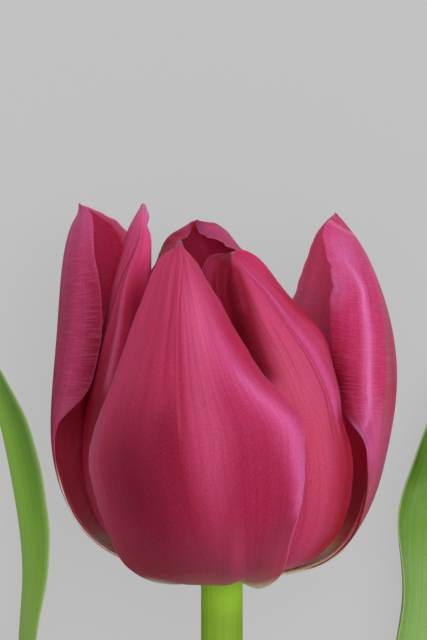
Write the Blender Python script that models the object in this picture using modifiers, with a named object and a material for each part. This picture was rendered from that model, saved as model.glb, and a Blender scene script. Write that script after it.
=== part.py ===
"""A cut tulip lying on a table: six petals, stamens, pistil, stem and two leaves.

Every piece is drawn in the bloom's own frame, in millimetres: x to the right, y towards the table and z up
the stem, from the lowest level of the bowl. The empty "tulip" then lays that frame down, so that the bloom
points along +Y, x stays +X, and the table is z = 0.
"""

from math import acos, cos, pi, radians, sin

import bmesh
import bpy
import numpy as np
from mathutils import Vector

MM = 0.001

# The bloom's axis runs this far above the table, where the two outer petals behind it rest.
AXIS_HEIGHT = 21.7

PETAL_THICKNESS = 0.7
PETAL_COLUMNS = 10
PETAL_ROWS = 24

LEAF_THICKNESS = 0.8
LEAF_COLUMNS = 6
LEAF_ROWS = 26

STEM_RADIUS = 3.5
STEM_LENGTH = 150.0
STEM_STRAIGHT = 8.0
STEM_POINTS = 18
RECEPTACLE_NECK = 2.45
RECEPTACLE_RADIUS = 3.2
RECEPTACLE_TOP = 5.8

SEAT_GAP = 0.3

# Petals and leaves end bluntly at this share of their guides, and thin out where they are narrower than this
# many times their thickness.
BLUNT_TIP = 0.985
FULL_WIDTH = 5

STAMENS = 6
FILAMENT_RADIUS = 0.6
ANTHER_HALF = (1.0, 1.25, 5.8)
ANTHER_CENTRE = (7.3, 21.3)
ANTHER_LEAN = 7.0

# A petal is drawn by three guide curves from its base to its tip: its midrib and its two margins, left and
# right as seen from outside. facing is the side that the midrib's outer face looks to, in degrees from the
# viewer's side of the bloom, -y, round towards +x, at shares of the petal's length.
PETALS = {
    "outer_petal_front": {
        "left": [
            (-1.8, -2.4, 2.9), (-6, -7, 1.6), (-11, -10.5, 1.9), (-15.5, -12.4, 4), (-19, -13.4, 9),
            (-21.3, -13.6, 15), (-21.8, -14, 22), (-20.3, -15, 27.5), (-17.8, -15.4, 34), (-14.5, -14.2, 43.5),
            (-11.7, -11.2, 51), (-10.3, -9.4, 54.2), (-8.9, -8.5, 55.4), (-7.3, -8, 56.7),
        ],
        "midrib": [
            (-0.2, -3, 2.6), (-0.8, -8, 1.3), (-1.3, -14, 1.2), (-2.2, -20, 6.2), (-4, -24, 15),
            (-5.7, -24.8, 26), (-6.4, -22, 36), (-6.8, -16.5, 46), (-7, -11.5, 53), (-7, -8, 57),
        ],
        "right": [
            (1.5, -2.6, 2.9), (4.8, -7.5, 1.4), (8.2, -10.5, 1.6), (10.2, -14.3, 4.6), (11.9, -17.3, 9.2),
            (13.2, -19, 15), (13.8, -19.6, 20), (13.7, -20.3, 25), (12.7, -20.6, 29.6), (7.8, -19.8, 35),
            (4.4, -18, 39), (1.9, -15.8, 43.4), (-0.7, -13, 48.4), (-2.4, -11, 51.5), (-4, -9.3, 54.3),
            (-5.4, -8.4, 55.3), (-6.7, -8, 56.7),
        ],
        "facing": [(0, -5), (1, -5)],
    },
    "outer_petal_right": {
        "left": [
            (2.2, -2.1, 2.9), (8, -5, 1.8), (14, -6.2, 3.2), (19.6, -6, 7.4), (22.7, -5, 12), (24.3, -4.4, 17),
            (24.6, -3.6, 20.5), (24, -2.8, 23.5), (22.9, -1.8, 26.4), (21.8, -1, 29.5), (20.3, -0.9, 34.5),
            (19.1, -1.5, 40), (18, -3.2, 46), (18.2, -4.5, 51), (18, -4.5, 55), (17.3, -4, 58.5),
            (18.3, -2, 60.2), (19, 2.6, 61.8),
        ],
        "midrib": [
            (3, 0.1, 2.6), (9, 0.4, 1.6), (15, 0.3, 2.8), (20.5, -0.3, 7), (24.3, -1, 13.5), (26.6, -1.3, 22),
            (27.6, -1.3, 32), (27.3, -1, 42), (25.2, 0, 51), (22.4, 1.5, 57.5), (19.1, 3, 62),
        ],
        "right": [
            (1.8, 2.2, 2.9), (5, 8, 1.8), (6.5, 15, 5), (7, 19.5, 12), (7, 21, 20), (7.5, 20.5, 30),
            (9.5, 18, 40), (12.3, 14.5, 48), (14.2, 12, 53.5), (15.4, 9, 57.2), (17.2, 6, 60.3),
            (19, 3.4, 61.9),
        ],
        "facing": [(0, 88), (0.4, 66), (0.8, 66), (1, 80)],
    },
    "outer_petal_left": {
        "left": [
            (-1.8, 2.2, 2.9), (-5, 8, 1.8), (-6.5, 15, 5), (-7, 20, 12), (-7, 21.6, 20), (-7.6, 21.1, 30),
            (-9.2, 18.3, 40), (-11.5, 15.5, 48), (-13.6, 13, 54), (-16.4, 9.5, 59.2), (-18.3, 7, 61),
            (-21.5, 3, 62.6), (-23.7, 0.4, 63.3),
        ],
        "midrib": [
            (-3, 0.1, 2.6), (-9, 0.4, 1.6), (-15.5, 0.3, 3), (-22, 0, 7.4), (-26.5, 0, 14), (-28.5, 0.4, 22),
            (-28.6, 1, 32), (-27.7, 1, 42), (-26.8, 0.6, 50), (-25.6, 0.2, 57.5), (-23.9, 0, 63.4),
        ],
        "right": [
            (-2.2, -2.1, 2.9), (-8, -5, 1.8), (-14.5, -6, 3.5), (-20, -5, 7), (-23, -4.6, 10.5),
            (-25.8, -4, 16), (-27.3, -3.2, 21), (-27.6, -3, 25), (-26, -4.5, 28.2), (-22.8, -6, 31.4),
            (-20.8, -6, 36.5), (-19.8, -6, 43), (-20.2, -5.6, 50), (-21.1, -5, 55), (-21.4, -3.6, 59.6),
            (-22.4, -1, 62.4), (-23.7, -0.4, 63.3),
        ],
        "facing": [(0, -88), (0.4, -88), (0.8, -85), (1, -85)],
    },
    "inner_petal_right": {
        "left": [
            (1, -2.7, 4.2), (3, -8, 3.5), (3.6, -13.8, 5.6), (3, -17.2, 11), (2, -19.4, 19), (0.5, -18.9, 28),
            (-1.6, -16, 37), (-3, -12, 45), (-3.3, -8.5, 51), (-2.6, -6, 54.3), (0, -4, 55), (1.3, -3, 55.1),
        ],
        "midrib": [
            (2.3, -1.8, 4.2), (6.5, -5, 3.6), (12, -8, 5), (16.1, -10, 8.6), (18.6, -11, 14),
            (19.3, -11.4, 20), (19, -11.4, 26), (17.3, -11, 31.2), (14, -9.8, 37.5), (9.7, -7.8, 43.8),
            (5.4, -5.3, 50), (2.8, -3.8, 53.8), (1.5, -3, 55.2),
        ],
        "right": [
            (2.7, 1, 4.2), (7.5, 3, 3.8), (12.5, 5, 7.4), (16.6, 6.6, 14), (18.2, 7, 22), (18.1, 6, 30),
            (16.8, 4.4, 38), (13, 1.8, 45.6), (8.7, -0.6, 51.3), (5.3, -1.9, 54.9), (3.2, -2.6, 55.6),
            (1.8, -2.9, 55.3),
        ],
        "facing": [(0, 56), (0.4, 58), (0.7, 44), (0.9, 44), (1, 50)],
    },
    "inner_petal_left": {
        "left": [
            (-2.7, 1, 4.2), (-7.5, 3, 3.8), (-12.5, 5, 7.4), (-16.6, 6.6, 14), (-18.5, 7.5, 22),
            (-18.3, 8, 30), (-17.6, 7.6, 38), (-16.8, 6, 46), (-16.3, 4, 52), (-15.4, 1, 58),
            (-13.2, -2.2, 62.6),
        ],
        "midrib": [
            (-2.3, -1.8, 4.2), (-7, -5, 3.6), (-12.4, -7.6, 5), (-16.2, -9.2, 9), (-19, -10, 15),
            (-19.9, -10.2, 23), (-19.1, -10.4, 31), (-17.2, -9.2, 42), (-15.6, -7.4, 50), (-13.6, -5, 57),
            (-12.8, -3, 63),
        ],
        "right": [
            (-1, -2.7, 4.2), (-3, -8, 3.5), (-4, -13.8, 5.6), (-4.8, -17.4, 11), (-5, -19.4, 19),
            (-5.2, -18.9, 28), (-7, -16, 37), (-10, -11, 45), (-11.5, -6, 51.5), (-11.2, -3.6, 56),
            (-11.6, -2.2, 60.2), (-12.2, -2.2, 62.6),
        ],
        "facing": [(0, -56), (0.5, -62), (1, -40)],
    },
    "inner_petal_back": {
        "left": [
            (1.4, 2.6, 4.2), (5.5, 7.3, 3.6), (9, 11, 6.6), (11.6, 13, 13), (13, 13.4, 21), (13, 13, 30),
            (11.6, 11, 38), (9.2, 7.3, 46), (5, 2.5, 53.5), (2.7, 1.5, 55.9), (0.8, 2, 57), (-1.4, 3, 58),
            (-3, 3.6, 59), (-4, 4.8, 60.5),
        ],
        "midrib": [
            (0, 3, 4.2), (0, 8, 3.6), (0, 13.2, 5), (0, 17.2, 9.5), (0, 19.1, 18), (-0.3, 19.3, 28),
            (-1, 18, 39), (-2, 15.4, 49), (-3.2, 11, 55.8), (-4, 7.5, 59.4), (-4.3, 5, 60.7),
        ],
        "right": [
            (-1.4, 2.6, 4.2), (-5.5, 7.3, 3.6), (-9, 11, 6.6), (-11.6, 13, 13), (-13, 13.4, 21),
            (-13.2, 13, 30), (-12.8, 11, 38), (-12.2, 7.3, 46), (-10.5, 3, 52), (-8.6, 1.5, 55.6),
            (-6.9, 2, 57.6), (-5.4, 3, 59.1), (-4.6, 4.8, 60.5),
        ],
        "facing": [(0, 180), (1, 180)],
    },
}

# A leaf is drawn as a petal is. Its base clasps one side of the stem. The left leaf stands on its edge, and
# the right one turns as it goes out and lies on its back.
LEAVES = {
    "leaf_left": {
        "left": [
            (-0.6, 17.4, -98), (-6, 19, -85), (-13, 20.2, -70), (-23, 21.2, -49), (-29, 21.5, -29),
            (-33, 21.3, -10), (-31.8, 21.5, 2), (-32.3, 21.5, 12), (-34.2, 21.2, 22), (-38.4, 19.5, 33),
            (-42.6, 16, 45), (-46, 11.8, 56),
        ],
        "midrib": [
            (-4.8, 12.7, -98), (-10, 12.4, -85), (-17.5, 12, -70), (-27, 11, -50), (-33, 10.5, -30),
            (-34.6, 10, -10), (-33.7, 10, 1), (-34.4, 10, 13.7), (-36.3, 10, 24), (-39.5, 10.3, 36),
            (-43, 10.7, 47), (-46.3, 11.2, 56.5),
        ],
        "right": [
            (-0.6, 8, -98), (-5.5, 6, -85), (-12, 3, -70), (-22, -1.5, -49), (-29, -3, -29),
            (-31.8, -2.5, -10), (-30.2, -3, 0), (-29.5, -3, 7), (-29.9, -3, 13.7), (-31.2, -2.5, 20.4),
            (-34.2, -1, 29.2), (-39, 2, 38), (-43.4, 7, 48), (-46, 10.8, 56),
        ],
        "facing": [(0, -90), (1, -90)],
    },
    "leaf_right": {
        "left": [
            (0.6, 11.2, -118), (6, 9.5, -106), (18, 7, -86), (33, 8, -60), (45, 12, -35), (51, 14, -10),
            (53, 14.5, 10), (54, 15, 28), (54, 15.6, 44), (52.6, 17, 57.5),
        ],
        "midrib": [
            (4.8, 16, -118), (9.5, 16.5, -105), (19, 18.4, -85), (29, 19.8, -60), (37, 20.3, -35),
            (41, 20.4, -10), (42.5, 20.4, 10), (45, 20, 28), (48.5, 19, 44), (52.2, 16.8, 58),
        ],
        "right": [
            (0.6, 20.7, -118), (6.5, 20.7, -105), (14, 20.4, -85), (22, 18.6, -60), (28, 15, -35),
            (30, 12, -10.8), (30.8, 12, -3.5), (30.2, 12, 4.7), (29.9, 12, 9.5), (30.6, 12, 13.7),
            (32.4, 12.3, 18.8), (35.1, 13, 26), (42, 15, 40), (51.6, 17.2, 57.5),
        ],
        "facing": [(0, 90), (0.3, 112), (0.55, 150), (1, 165)],
    },
}

# The pistil from the crown of its stigma down to its foot: (radius, height, depth of its three lobes).
PISTIL = [
    (0, 26.2, 0), (2.1, 26.6, 0.3), (3.2, 25.4, 0.3), (2.5, 23.7, 0.25), (1.9, 22.6, 0.1), (2.3, 20.5, 0.1),
    (2.6, 16, 0.12), (2.6, 11.5, 0.12), (2.1, 8, 0.1), (1.5, 6.4, 0), (0, RECEPTACLE_TOP + SEAT_GAP, 0),
]
PISTIL_SIDES = 18

# A filament's centre line: distance from the bloom's axis, and height.
FILAMENT = [(2.6, RECEPTACLE_TOP + SEAT_GAP), (2.7, 7), (3.9, 9.1), (5.2, 11.4), (6.2, 13.4), (6.7, 15.1)]


def natural_spline(shares, values, at):
    """The natural cubic spline through values at the given shares, read at the shares in at."""
    shares = np.array(shares, float)
    values = np.array(values, float)
    step = np.diff(shares)
    slope = np.diff(values, axis=0) / step[:, None]
    system = np.eye(len(shares))
    right_side = np.zeros_like(values)
    for i in range(1, len(shares) - 1):
        system[i, i - 1 : i + 2] = step[i - 1], 2 * (step[i - 1] + step[i]), step[i]
        right_side[i] = 6 * (slope[i] - slope[i - 1])
    bend = np.linalg.solve(system, right_side)
    i = np.clip(np.searchsorted(shares, at) - 1, 0, len(step) - 1)
    width = step[i][:, None]
    after = (at - shares[i])[:, None] / width
    before = 1 - after
    curve = (before**3 - before) * bend[i] + (after**3 - after) * bend[i + 1]
    return before * values[i] + after * values[i + 1] + width**2 / 6 * curve


def guide(points, at):
    """The smooth curve through points, read at shares of its length."""
    runs = np.linalg.norm(np.diff(np.array(points, float), axis=0), axis=1)
    shares = np.concatenate([[0], np.cumsum(runs)]) / runs.sum()
    return natural_spline(shares, points, at)


def cup(start, heading, end, shares):
    """Points along the arc that leaves start along heading and meets end, as one cubic Bezier curve a row."""
    chord = end - start
    length = np.linalg.norm(chord, axis=1)[:, None]
    chord = chord / length
    cosine = np.clip((heading * chord).sum(axis=1), -0.95, 0.9999)[:, None]
    angle = np.arccos(cosine)
    handle = length * (2 / 3) * np.tan(angle / 2) / np.sin(angle)
    near = start + handle * heading
    far = end - handle * (2 * cosine * chord - heading)
    q = shares[None, :, None]
    start, near, far, end = (p[:, None] for p in (start, near, far, end))
    return (1 - q) ** 3 * start + 3 * (1 - q) ** 2 * q * near + 3 * (1 - q) * q**2 * far + q**3 * end


def blade_points(shape, rows, columns):
    """The outer face of a petal or leaf: rows from base to tip, columns from left to right margin."""
    along = np.linspace(0, BLUNT_TIP, rows + 1)
    across = np.linspace(-1, 1, columns + 1)
    left, midrib, right = (guide(shape[name], along) for name in ("left", "midrib", "right"))
    facing_shares, facing_angles = zip(*shape["facing"])
    facing = np.radians(natural_spline(facing_shares, np.array(facing_angles)[:, None], along)[:, 0])
    side = np.column_stack([np.cos(facing), np.sin(facing), np.zeros_like(facing)])
    left_half = cup(midrib, -side, left, abs(across))
    right_half = cup(midrib, side, right, abs(across))
    return np.where((across < 0)[None, :, None], left_half, right_half)


def finish(name, colour, roughness):
    material = bpy.data.materials.new(name)
    material.use_nodes = True
    shader = material.node_tree.nodes["Principled BSDF"]
    shader.inputs["Base Color"].default_value = (*colour, 1)
    shader.inputs["Roughness"].default_value = roughness
    shader.inputs["Metallic"].default_value = 0
    material.diffuse_color = (*colour, 1)
    return material


def add(name, data, material):
    """Puts one piece in the tulip's collection, under the empty that lays the bloom down."""
    piece = bpy.data.objects.new(name, data)
    data.materials.append(material)
    tulip.objects.link(piece)
    piece.parent = lay_down
    return piece


def mesh_from(name, shape):
    mesh = bpy.data.meshes.new(name)
    shape.to_mesh(mesh)
    shape.free()
    mesh.shade_smooth()
    return mesh


def blade(name, shape, rows, columns, thickness, material):
    """A petal or leaf: a grid moved onto its outer face, thickened inwards."""
    sheet = bmesh.new()
    bmesh.ops.create_grid(sheet, x_segments=columns, y_segments=rows, size=1)
    points = blade_points(shape, rows, columns)
    widths = np.linalg.norm(points[:, 0] - points[:, -1], axis=1)
    shares = np.minimum(widths / (FULL_WIDTH * thickness), 1)
    share_of = {}
    for vertex in sheet.verts:
        column = round((vertex.co.x + 1) / 2 * columns)
        row = round((vertex.co.y + 1) / 2 * rows)
        vertex.co = Vector(points[row, column]) * MM
        share_of[vertex.index] = shares[row]
    piece = add(name, mesh_from(name, sheet), material)
    fullness = piece.vertex_groups.new(name="fullness")
    for index, share in share_of.items():
        fullness.add([index], share, "REPLACE")
    thick = piece.modifiers.new("Thickness", "SOLIDIFY")
    thick.thickness = thickness * MM
    thick.offset = -1
    thick.vertex_group = fullness.name
    return piece


def tube(name, points, radii, sides, material):
    """A round stalk along points, with its own radius at each and closed ends."""
    curve = bpy.data.curves.new(name, "CURVE")
    curve.dimensions = "3D"
    curve.use_fill_caps = True
    curve.bevel_depth = MM
    curve.bevel_resolution = (sides - 4) // 2
    spline = curve.splines.new("POLY")
    spline.points.add(len(points) - 1)
    for control, point, radius in zip(spline.points, points, radii):
        control.co = (*(MM * share for share in point), 1)
        control.radius = radius
    return add(name, curve, material)


def stem_centre(below):
    """The stem's centre line at a distance below the bloom: straight at first, then down to the table."""
    run = min(max((below - STEM_STRAIGHT) / (STEM_LENGTH - STEM_STRAIGHT), 0), 1)
    drop = (AXIS_HEIGHT - STEM_RADIUS) * (3 * run**2 - 2 * run**3)
    return (0, drop, -below)


def stem(material):
    """The stem, and the receptacle at its top that carries the petals, stamens and pistil."""
    receptacle = [
        ((0, 0, RECEPTACLE_TOP), RECEPTACLE_RADIUS),
        ((0, 0, RECEPTACLE_TOP - 0.35), RECEPTACLE_RADIUS),
        ((0, 0, RECEPTACLE_TOP - 0.75), RECEPTACLE_NECK),
        ((0, 0, 2.3), RECEPTACLE_NECK),
        ((0, 0, 1.4), 3.1),
        ((0, 0, 0.6), STEM_RADIUS),
    ]
    below = np.linspace(2, STEM_LENGTH, STEM_POINTS)
    stalk = [(stem_centre(distance), STEM_RADIUS) for distance in below]
    points, radii = zip(*(receptacle + stalk))
    tube("stem", points, radii, 12, material)


def pistil(material):
    """The three-sided ovary with its three-lobed stigma."""
    shape = bmesh.new()
    rings = len(PISTIL) - 1
    bmesh.ops.create_uvsphere(shape, u_segments=PISTIL_SIDES, v_segments=rings, radius=1)
    for vertex in shape.verts:
        ring = round(acos(max(-1, min(1, vertex.co.z))) / pi * rings)
        radius, height, lobe = PISTIL[ring]
        angle = np.arctan2(vertex.co.y, vertex.co.x)
        reach = radius * (1 + lobe * cos(3 * angle))
        vertex.co = Vector((reach * cos(angle), reach * sin(angle), height)) * MM
    add("pistil", mesh_from("pistil", shape), material)


def anther_mesh():
    shape = bmesh.new()
    bmesh.ops.create_uvsphere(shape, u_segments=10, v_segments=8, radius=1)
    bmesh.ops.scale(shape, vec=Vector(ANTHER_HALF) * MM, verts=shape.verts)
    return mesh_from("anther", shape)


def stamens(filament_material, anther_material):
    """Six filaments round the pistil, each with its anther on top."""
    anther = anther_mesh()
    anther.materials.append(anther_material)
    for number in range(1, STAMENS + 1):
        turn = 2 * pi * (number - 1) / STAMENS
        outward = Vector((cos(turn), sin(turn), 0))
        points = [outward * reach + Vector((0, 0, height)) for reach, height in FILAMENT]
        radii = [FILAMENT_RADIUS] * (len(FILAMENT) - 1) + [FILAMENT_RADIUS * 0.7]
        tube(f"filament_{number}", points, radii, 8, filament_material)
        piece = bpy.data.objects.new(f"anther_{number}", anther)
        tulip.objects.link(piece)
        piece.parent = lay_down
        reach, height = ANTHER_CENTRE
        piece.location = (outward * reach + Vector((0, 0, height))) * MM
        piece.rotation_euler = (0, radians(ANTHER_LEAN), turn)


def lowest_and_highest():
    """The corners of the box round every piece, in the row's frame."""
    bpy.context.view_layer.update()
    graph = bpy.context.evaluated_depsgraph_get()
    corners = []
    for piece in tulip.objects:
        if piece.type == "EMPTY":
            continue
        solid = piece.evaluated_get(graph)
        mesh = solid.to_mesh()
        corners += [solid.matrix_world @ vertex.co for vertex in mesh.vertices]
        solid.to_mesh_clear()
    return np.min(corners, axis=0), np.max(corners, axis=0)


for leftover in list(bpy.data.objects):
    bpy.data.objects.remove(leftover, do_unlink=True)

tulip = bpy.data.collections.new("tulip_flower")
bpy.context.scene.collection.children.link(tulip)
lay_down = bpy.data.objects.new("tulip", None)
tulip.objects.link(lay_down)

outer_petal = finish("outer_petal", (0.55, 0.07, 0.19), 0.42)
inner_petal = finish("inner_petal", (0.52, 0.05, 0.16), 0.42)
stalk_green = finish("stem", (0.29, 0.45, 0.07), 0.45)
leaf_green = finish("leaf", (0.17, 0.36, 0.07), 0.5)
filament_dark = finish("filament", (0.10, 0.02, 0.06), 0.5)
anther_dark = finish("anther", (0.05, 0.02, 0.04), 0.8)
pistil_pale = finish("pistil", (0.48, 0.55, 0.25), 0.5)

for petal_name, petal_shape in PETALS.items():
    petal_material = outer_petal if petal_name.startswith("outer") else inner_petal
    blade(petal_name, petal_shape, PETAL_ROWS, PETAL_COLUMNS, PETAL_THICKNESS, petal_material)
for leaf_name, leaf_shape in LEAVES.items():
    blade(leaf_name, leaf_shape, LEAF_ROWS, LEAF_COLUMNS, LEAF_THICKNESS, leaf_green)
stem(stalk_green)
pistil(pistil_pale)
stamens(filament_dark, anther_dark)

# The bloom lies with its axis along +Y, and the origin is below the middle of the whole flower.
lay_down.rotation_euler = (-pi / 2, 0, 0)
lowest, highest = lowest_and_highest()
lay_down.location = (-(lowest[0] + highest[0]) / 2, -(lowest[1] + highest[1]) / 2, -lowest[2])
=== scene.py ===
from math import cos, pi, sin, tau

import bpy
import numpy as np
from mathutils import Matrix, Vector


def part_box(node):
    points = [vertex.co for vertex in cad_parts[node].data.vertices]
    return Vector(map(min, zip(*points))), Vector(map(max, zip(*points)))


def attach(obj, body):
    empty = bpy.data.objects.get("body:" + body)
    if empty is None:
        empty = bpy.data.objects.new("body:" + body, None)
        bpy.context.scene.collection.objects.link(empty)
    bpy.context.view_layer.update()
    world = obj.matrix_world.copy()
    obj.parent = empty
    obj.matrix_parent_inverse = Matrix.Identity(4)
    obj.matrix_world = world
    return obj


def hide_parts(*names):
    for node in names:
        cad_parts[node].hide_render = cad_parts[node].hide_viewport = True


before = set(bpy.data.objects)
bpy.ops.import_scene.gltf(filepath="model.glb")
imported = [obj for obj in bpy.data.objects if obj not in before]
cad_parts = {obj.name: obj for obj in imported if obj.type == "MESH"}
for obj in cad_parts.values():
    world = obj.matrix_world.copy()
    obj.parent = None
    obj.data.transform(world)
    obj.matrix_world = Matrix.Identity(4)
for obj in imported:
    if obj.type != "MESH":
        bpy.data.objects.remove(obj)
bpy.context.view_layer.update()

# ----------------------------------------------------------------------------------------------------------
# The stem: one smooth, juicy, faintly ribbed stalk, cut square across its lower end. At its top it swells
# into the receptacle, which carries the petals, stamens and pistil. It lies down along the table.
# ----------------------------------------------------------------------------------------------------------
MM = 0.001
STEM_RADIUS = 3.5
STEM_LENGTH = 150.0
STEM_STRAIGHT = 8.0
AXIS_HEIGHT = 21.7
STEM_SIDES = 64
STEM_RINGS = 150
# where the plain stalk starts below the bloom, and how far above the cut it ends
STALK_START = 0.4
STALK_MARGIN = 0.25
# the ribs' depth as a share of the radius, and how far round and how slowly they wander
STEM_RIBS = 9
RIB_DEPTH = 0.0105
RIB_WANDER = 0.6
RIB_WANDER_LENGTH = 40
# the stem's slow swelling and narrowing, as a share of the radius
WAIST = 0.015
WAIST_LENGTH = 23
STEM_GREEN = (0.22, 0.38, 0.022)
STEM_SHADE = (0.20, 0.345, 0.022)
STEM_YELLOW = (0.225, 0.385, 0.018)
CUT_PALE = (0.42, 0.52, 0.22)

stem_low, stem_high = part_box("stem")
# The bloom's own frame, in which every piece is drawn: x to the right, y to the table, z up the stem.
bloom_origin = Vector((
    (stem_low.x + stem_high.x) / 2,
    stem_low.y + STEM_LENGTH * MM,
    stem_high.z - STEM_RADIUS * MM,
))


def placed(points):
    """Points of the bloom's frame, in millimetres, as points of the row's frame, in metres."""
    points = np.asarray(points, float)
    turned = np.stack([points[..., 0], points[..., 2], -points[..., 1]], axis=-1)
    return turned * MM + np.array(bloom_origin)


def unit(vectors):
    return vectors / np.maximum(np.linalg.norm(vectors, axis=-1, keepdims=True), 1e-9)


def added(name, data):
    """A new object in the scene."""
    thing = bpy.data.objects.new(name, data)
    bpy.context.scene.collection.objects.link(thing)
    return thing


def solid(name, points, faces, surface, inside=None):
    """A mesh piece. surface gives each point its place (across, along) on the piece, for its material."""
    points[:, 1] = np.minimum(points[:, 1], AXIS_HEIGHT)  # nothing lies below the table
    mesh = bpy.data.meshes.new(name)
    mesh.from_pydata(placed(points).tolist(), [], [list(map(int, face)) for face in faces])
    mesh.shade_smooth()
    corners = np.empty(len(mesh.loops), np.int32)
    mesh.loops.foreach_get("vertex_index", corners)
    uv = mesh.uv_layers.new(name="surface")
    uv.data.foreach_set("uv", np.asarray(surface, np.float32)[corners].ravel())
    inner = mesh.attributes.new("inside", "FLOAT", "POINT")
    inner.data.foreach_set("value", np.zeros(len(points), np.float32) if inside is None else inside)
    return added(name, mesh)


def round_body(name, centres, points):
    """A closed piece of rings of points round its centre line, with a fan of faces over each end."""
    rings, sides = points.shape[:2]
    points = np.concatenate([points.reshape(-1, 3), centres[:1], centres[-1:]])
    corner = np.arange(rings * sides).reshape(rings, sides)
    turned = np.roll(corner, -1, axis=1)
    walls = np.stack([corner[:-1], turned[:-1], turned[1:], corner[1:]], axis=-1).reshape(-1, 4)
    start = [(turned[0, i], corner[0, i], rings * sides) for i in range(sides)]
    end = [(corner[-1, i], turned[-1, i], rings * sides + 1) for i in range(sides)]
    grid = np.meshgrid(np.arange(sides) / sides, np.linspace(0, 1, rings))
    place = np.concatenate([np.stack(grid, axis=-1).reshape(-1, 2), [[0.5, 0]], [[0.5, 1]]])
    return solid(name, points, [*walls, *start, *end], place)


def turns(sides):
    """The angles of even steps once round."""
    return np.arange(sides) * tau / sides


def stalk(name, centres, across, radii):
    """A closed tube round a centre line that lies in a plane; radii has a radius for each ring and side."""
    along = unit(np.gradient(centres, axis=0))
    across = np.broadcast_to(across, along.shape)
    third = np.cross(along, across)
    angles = turns(radii.shape[1])
    ring = np.cos(angles)[None, :, None] * across[:, None] + np.sin(angles)[None, :, None] * third[:, None]
    return round_body(name, centres, centres[:, None] + ring * radii[..., None])


class Wire:
    """A socket of a material's nodes. Arithmetic on wires adds the Math nodes that work it out."""

    def __init__(self, tree, socket=None):
        self.tree = tree
        self.socket = socket

    def node(self, kind, settings=None, inputs=None, output=0):
        """Adds any node: its type, its settings, then the values or wires of its sockets."""
        node = self.tree.nodes.new(kind)
        for name, value in (settings or {}).items():
            if name == "stops":
                elements = node.color_ramp.elements
                for place, colour in value[1:-1]:
                    elements.new(place).color = (*colour, 1)
                elements[0].position, elements[-1].position = value[0][0], value[-1][0]
                elements[0].color, elements[-1].color = (*value[0][1], 1), (*value[-1][1], 1)
            else:
                setattr(node, name, value)
        for name, value in (inputs or {}).items():
            socket = node.inputs[name]
            if isinstance(value, Wire):
                self.tree.links.new(value.socket, socket)
            elif socket.type == "RGBA":
                socket.default_value = (*value[:3], 1)
            else:
                socket.default_value = value
        return None if output is None else Wire(self.tree, node.outputs[output])

    def math(self, operation, *others):
        return self.node("ShaderNodeMath", {"operation": operation}, dict(enumerate((self, *others))))

    def __add__(self, other):
        return self.math("ADD", other)

    def __sub__(self, other):
        return self.math("SUBTRACT", other)

    def __rsub__(self, other):
        return self.math("MULTIPLY_ADD", -1, other)

    def __mul__(self, other):
        return self.math("MULTIPLY", other)

    def __abs__(self):
        return self.math("ABSOLUTE")

    __radd__ = __add__
    __rmul__ = __mul__

    def rise(self, low, high):
        """0 below low and 1 above high, with a smooth step between; low may be the greater."""
        return self.node("ShaderNodeMapRange", {"interpolation_type": "SMOOTHSTEP"}, {
            "Value": self, "From Min": low, "From Max": high,
        })

    def ramp(self, stops):
        """A colour read from stops of (place, colour)."""
        return self.node("ShaderNodeValToRGB", {"stops": stops}, {"Fac": self})

    def profile(self, stops):
        """A number from 0 to 1 read from stops of (place, number)."""
        grey = self.ramp([(place, (number, number, number)) for place, number in stops])
        return grey.node("ShaderNodeSeparateColor", {}, {"Color": grey})

    def between(self, first, second):
        """The mix of two colours that this wire, from 0 to 1, makes."""
        return self.node("ShaderNodeMix", {"data_type": "RGBA"}, {0: self, 6: first, 7: second}, 2)

    def noise(self, across, along, seed, detail=3.0):
        """Noise from 0 to 1 over the places that this wire holds, as dense as across and along say."""
        stretched = self.node("ShaderNodeMapping", {}, {
            "Vector": self, "Scale": (across, along, 1), "Location": (seed, seed * 0.37, seed * 1.7),
        })
        return self.node("ShaderNodeTexNoise", {}, {
            "Vector": stretched, "Scale": 1.0, "Detail": detail, "Roughness": 0.55,
        })

    def part(self, name):
        """One of X, Y and Z of a vector."""
        return self.node("ShaderNodeSeparateXYZ", {}, {"Vector": self}, name)


def bare_material(name):
    """A new material without nodes, and a wire that adds them."""
    material = bpy.data.materials.new(name)
    material.use_nodes = True
    material.node_tree.nodes.clear()
    return material, Wire(material.node_tree)


def surface_of(name):
    """A new material, and the wire of a point's place (across, along) on the piece that wears it."""
    material, bare = bare_material(name)
    return material, bare.node("ShaderNodeUVMap", {"uv_map": "surface"})


def shaded(colour, brightness, richness=1.0):
    """A colour made lighter or darker, and purer or greyer, by wires round 1."""
    return colour.node("ShaderNodeHueSaturation", {}, {
        "Color": colour, "Value": brightness, "Saturation": richness,
    }, "Color")


def finished(material, place, colour, roughness, height, depth, settings):
    """Ends a material: colour, roughness, a bump of height times depth metres, and its even settings."""
    bump = place.node("ShaderNodeBump", {}, {"Height": height, "Distance": depth, "Strength": 1.0})
    shader = place.node("ShaderNodeBsdfPrincipled", {}, {
        "Base Color": colour, "Roughness": roughness, "Normal": bump, **settings,
    })
    place.node("ShaderNodeOutputMaterial", {}, {"Surface": shader}, None)
    return material


def dressed(piece, material, node):
    """Gives a piece its material and slot, and puts it in the place of its solid on the one body."""
    piece.data.materials.append(material)
    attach(piece, "root")
    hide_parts(node)


def stem_centre(below):
    """The stem's centre line at a distance below the bloom: straight at first, then down to the table."""
    run = np.clip((below - STEM_STRAIGHT) / (STEM_LENGTH - STEM_STRAIGHT), 0, 1)
    drop = (AXIS_HEIGHT - STEM_RADIUS) * (3 * run**2 - 2 * run**3)
    return np.stack([np.zeros_like(below), drop, -below], axis=-1)


# (height, radius) from the crown of the receptacle down to where the plain stalk starts
RECEPTACLE = [
    (5.8, 2.2), (5.8, 3.0), (5.62, 3.2), (5.35, 3.1), (5.05, 2.5), (4, 2.45), (2.3, 2.45), (1.4, 3.1),
    (0.6, 3.5),
]
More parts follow.
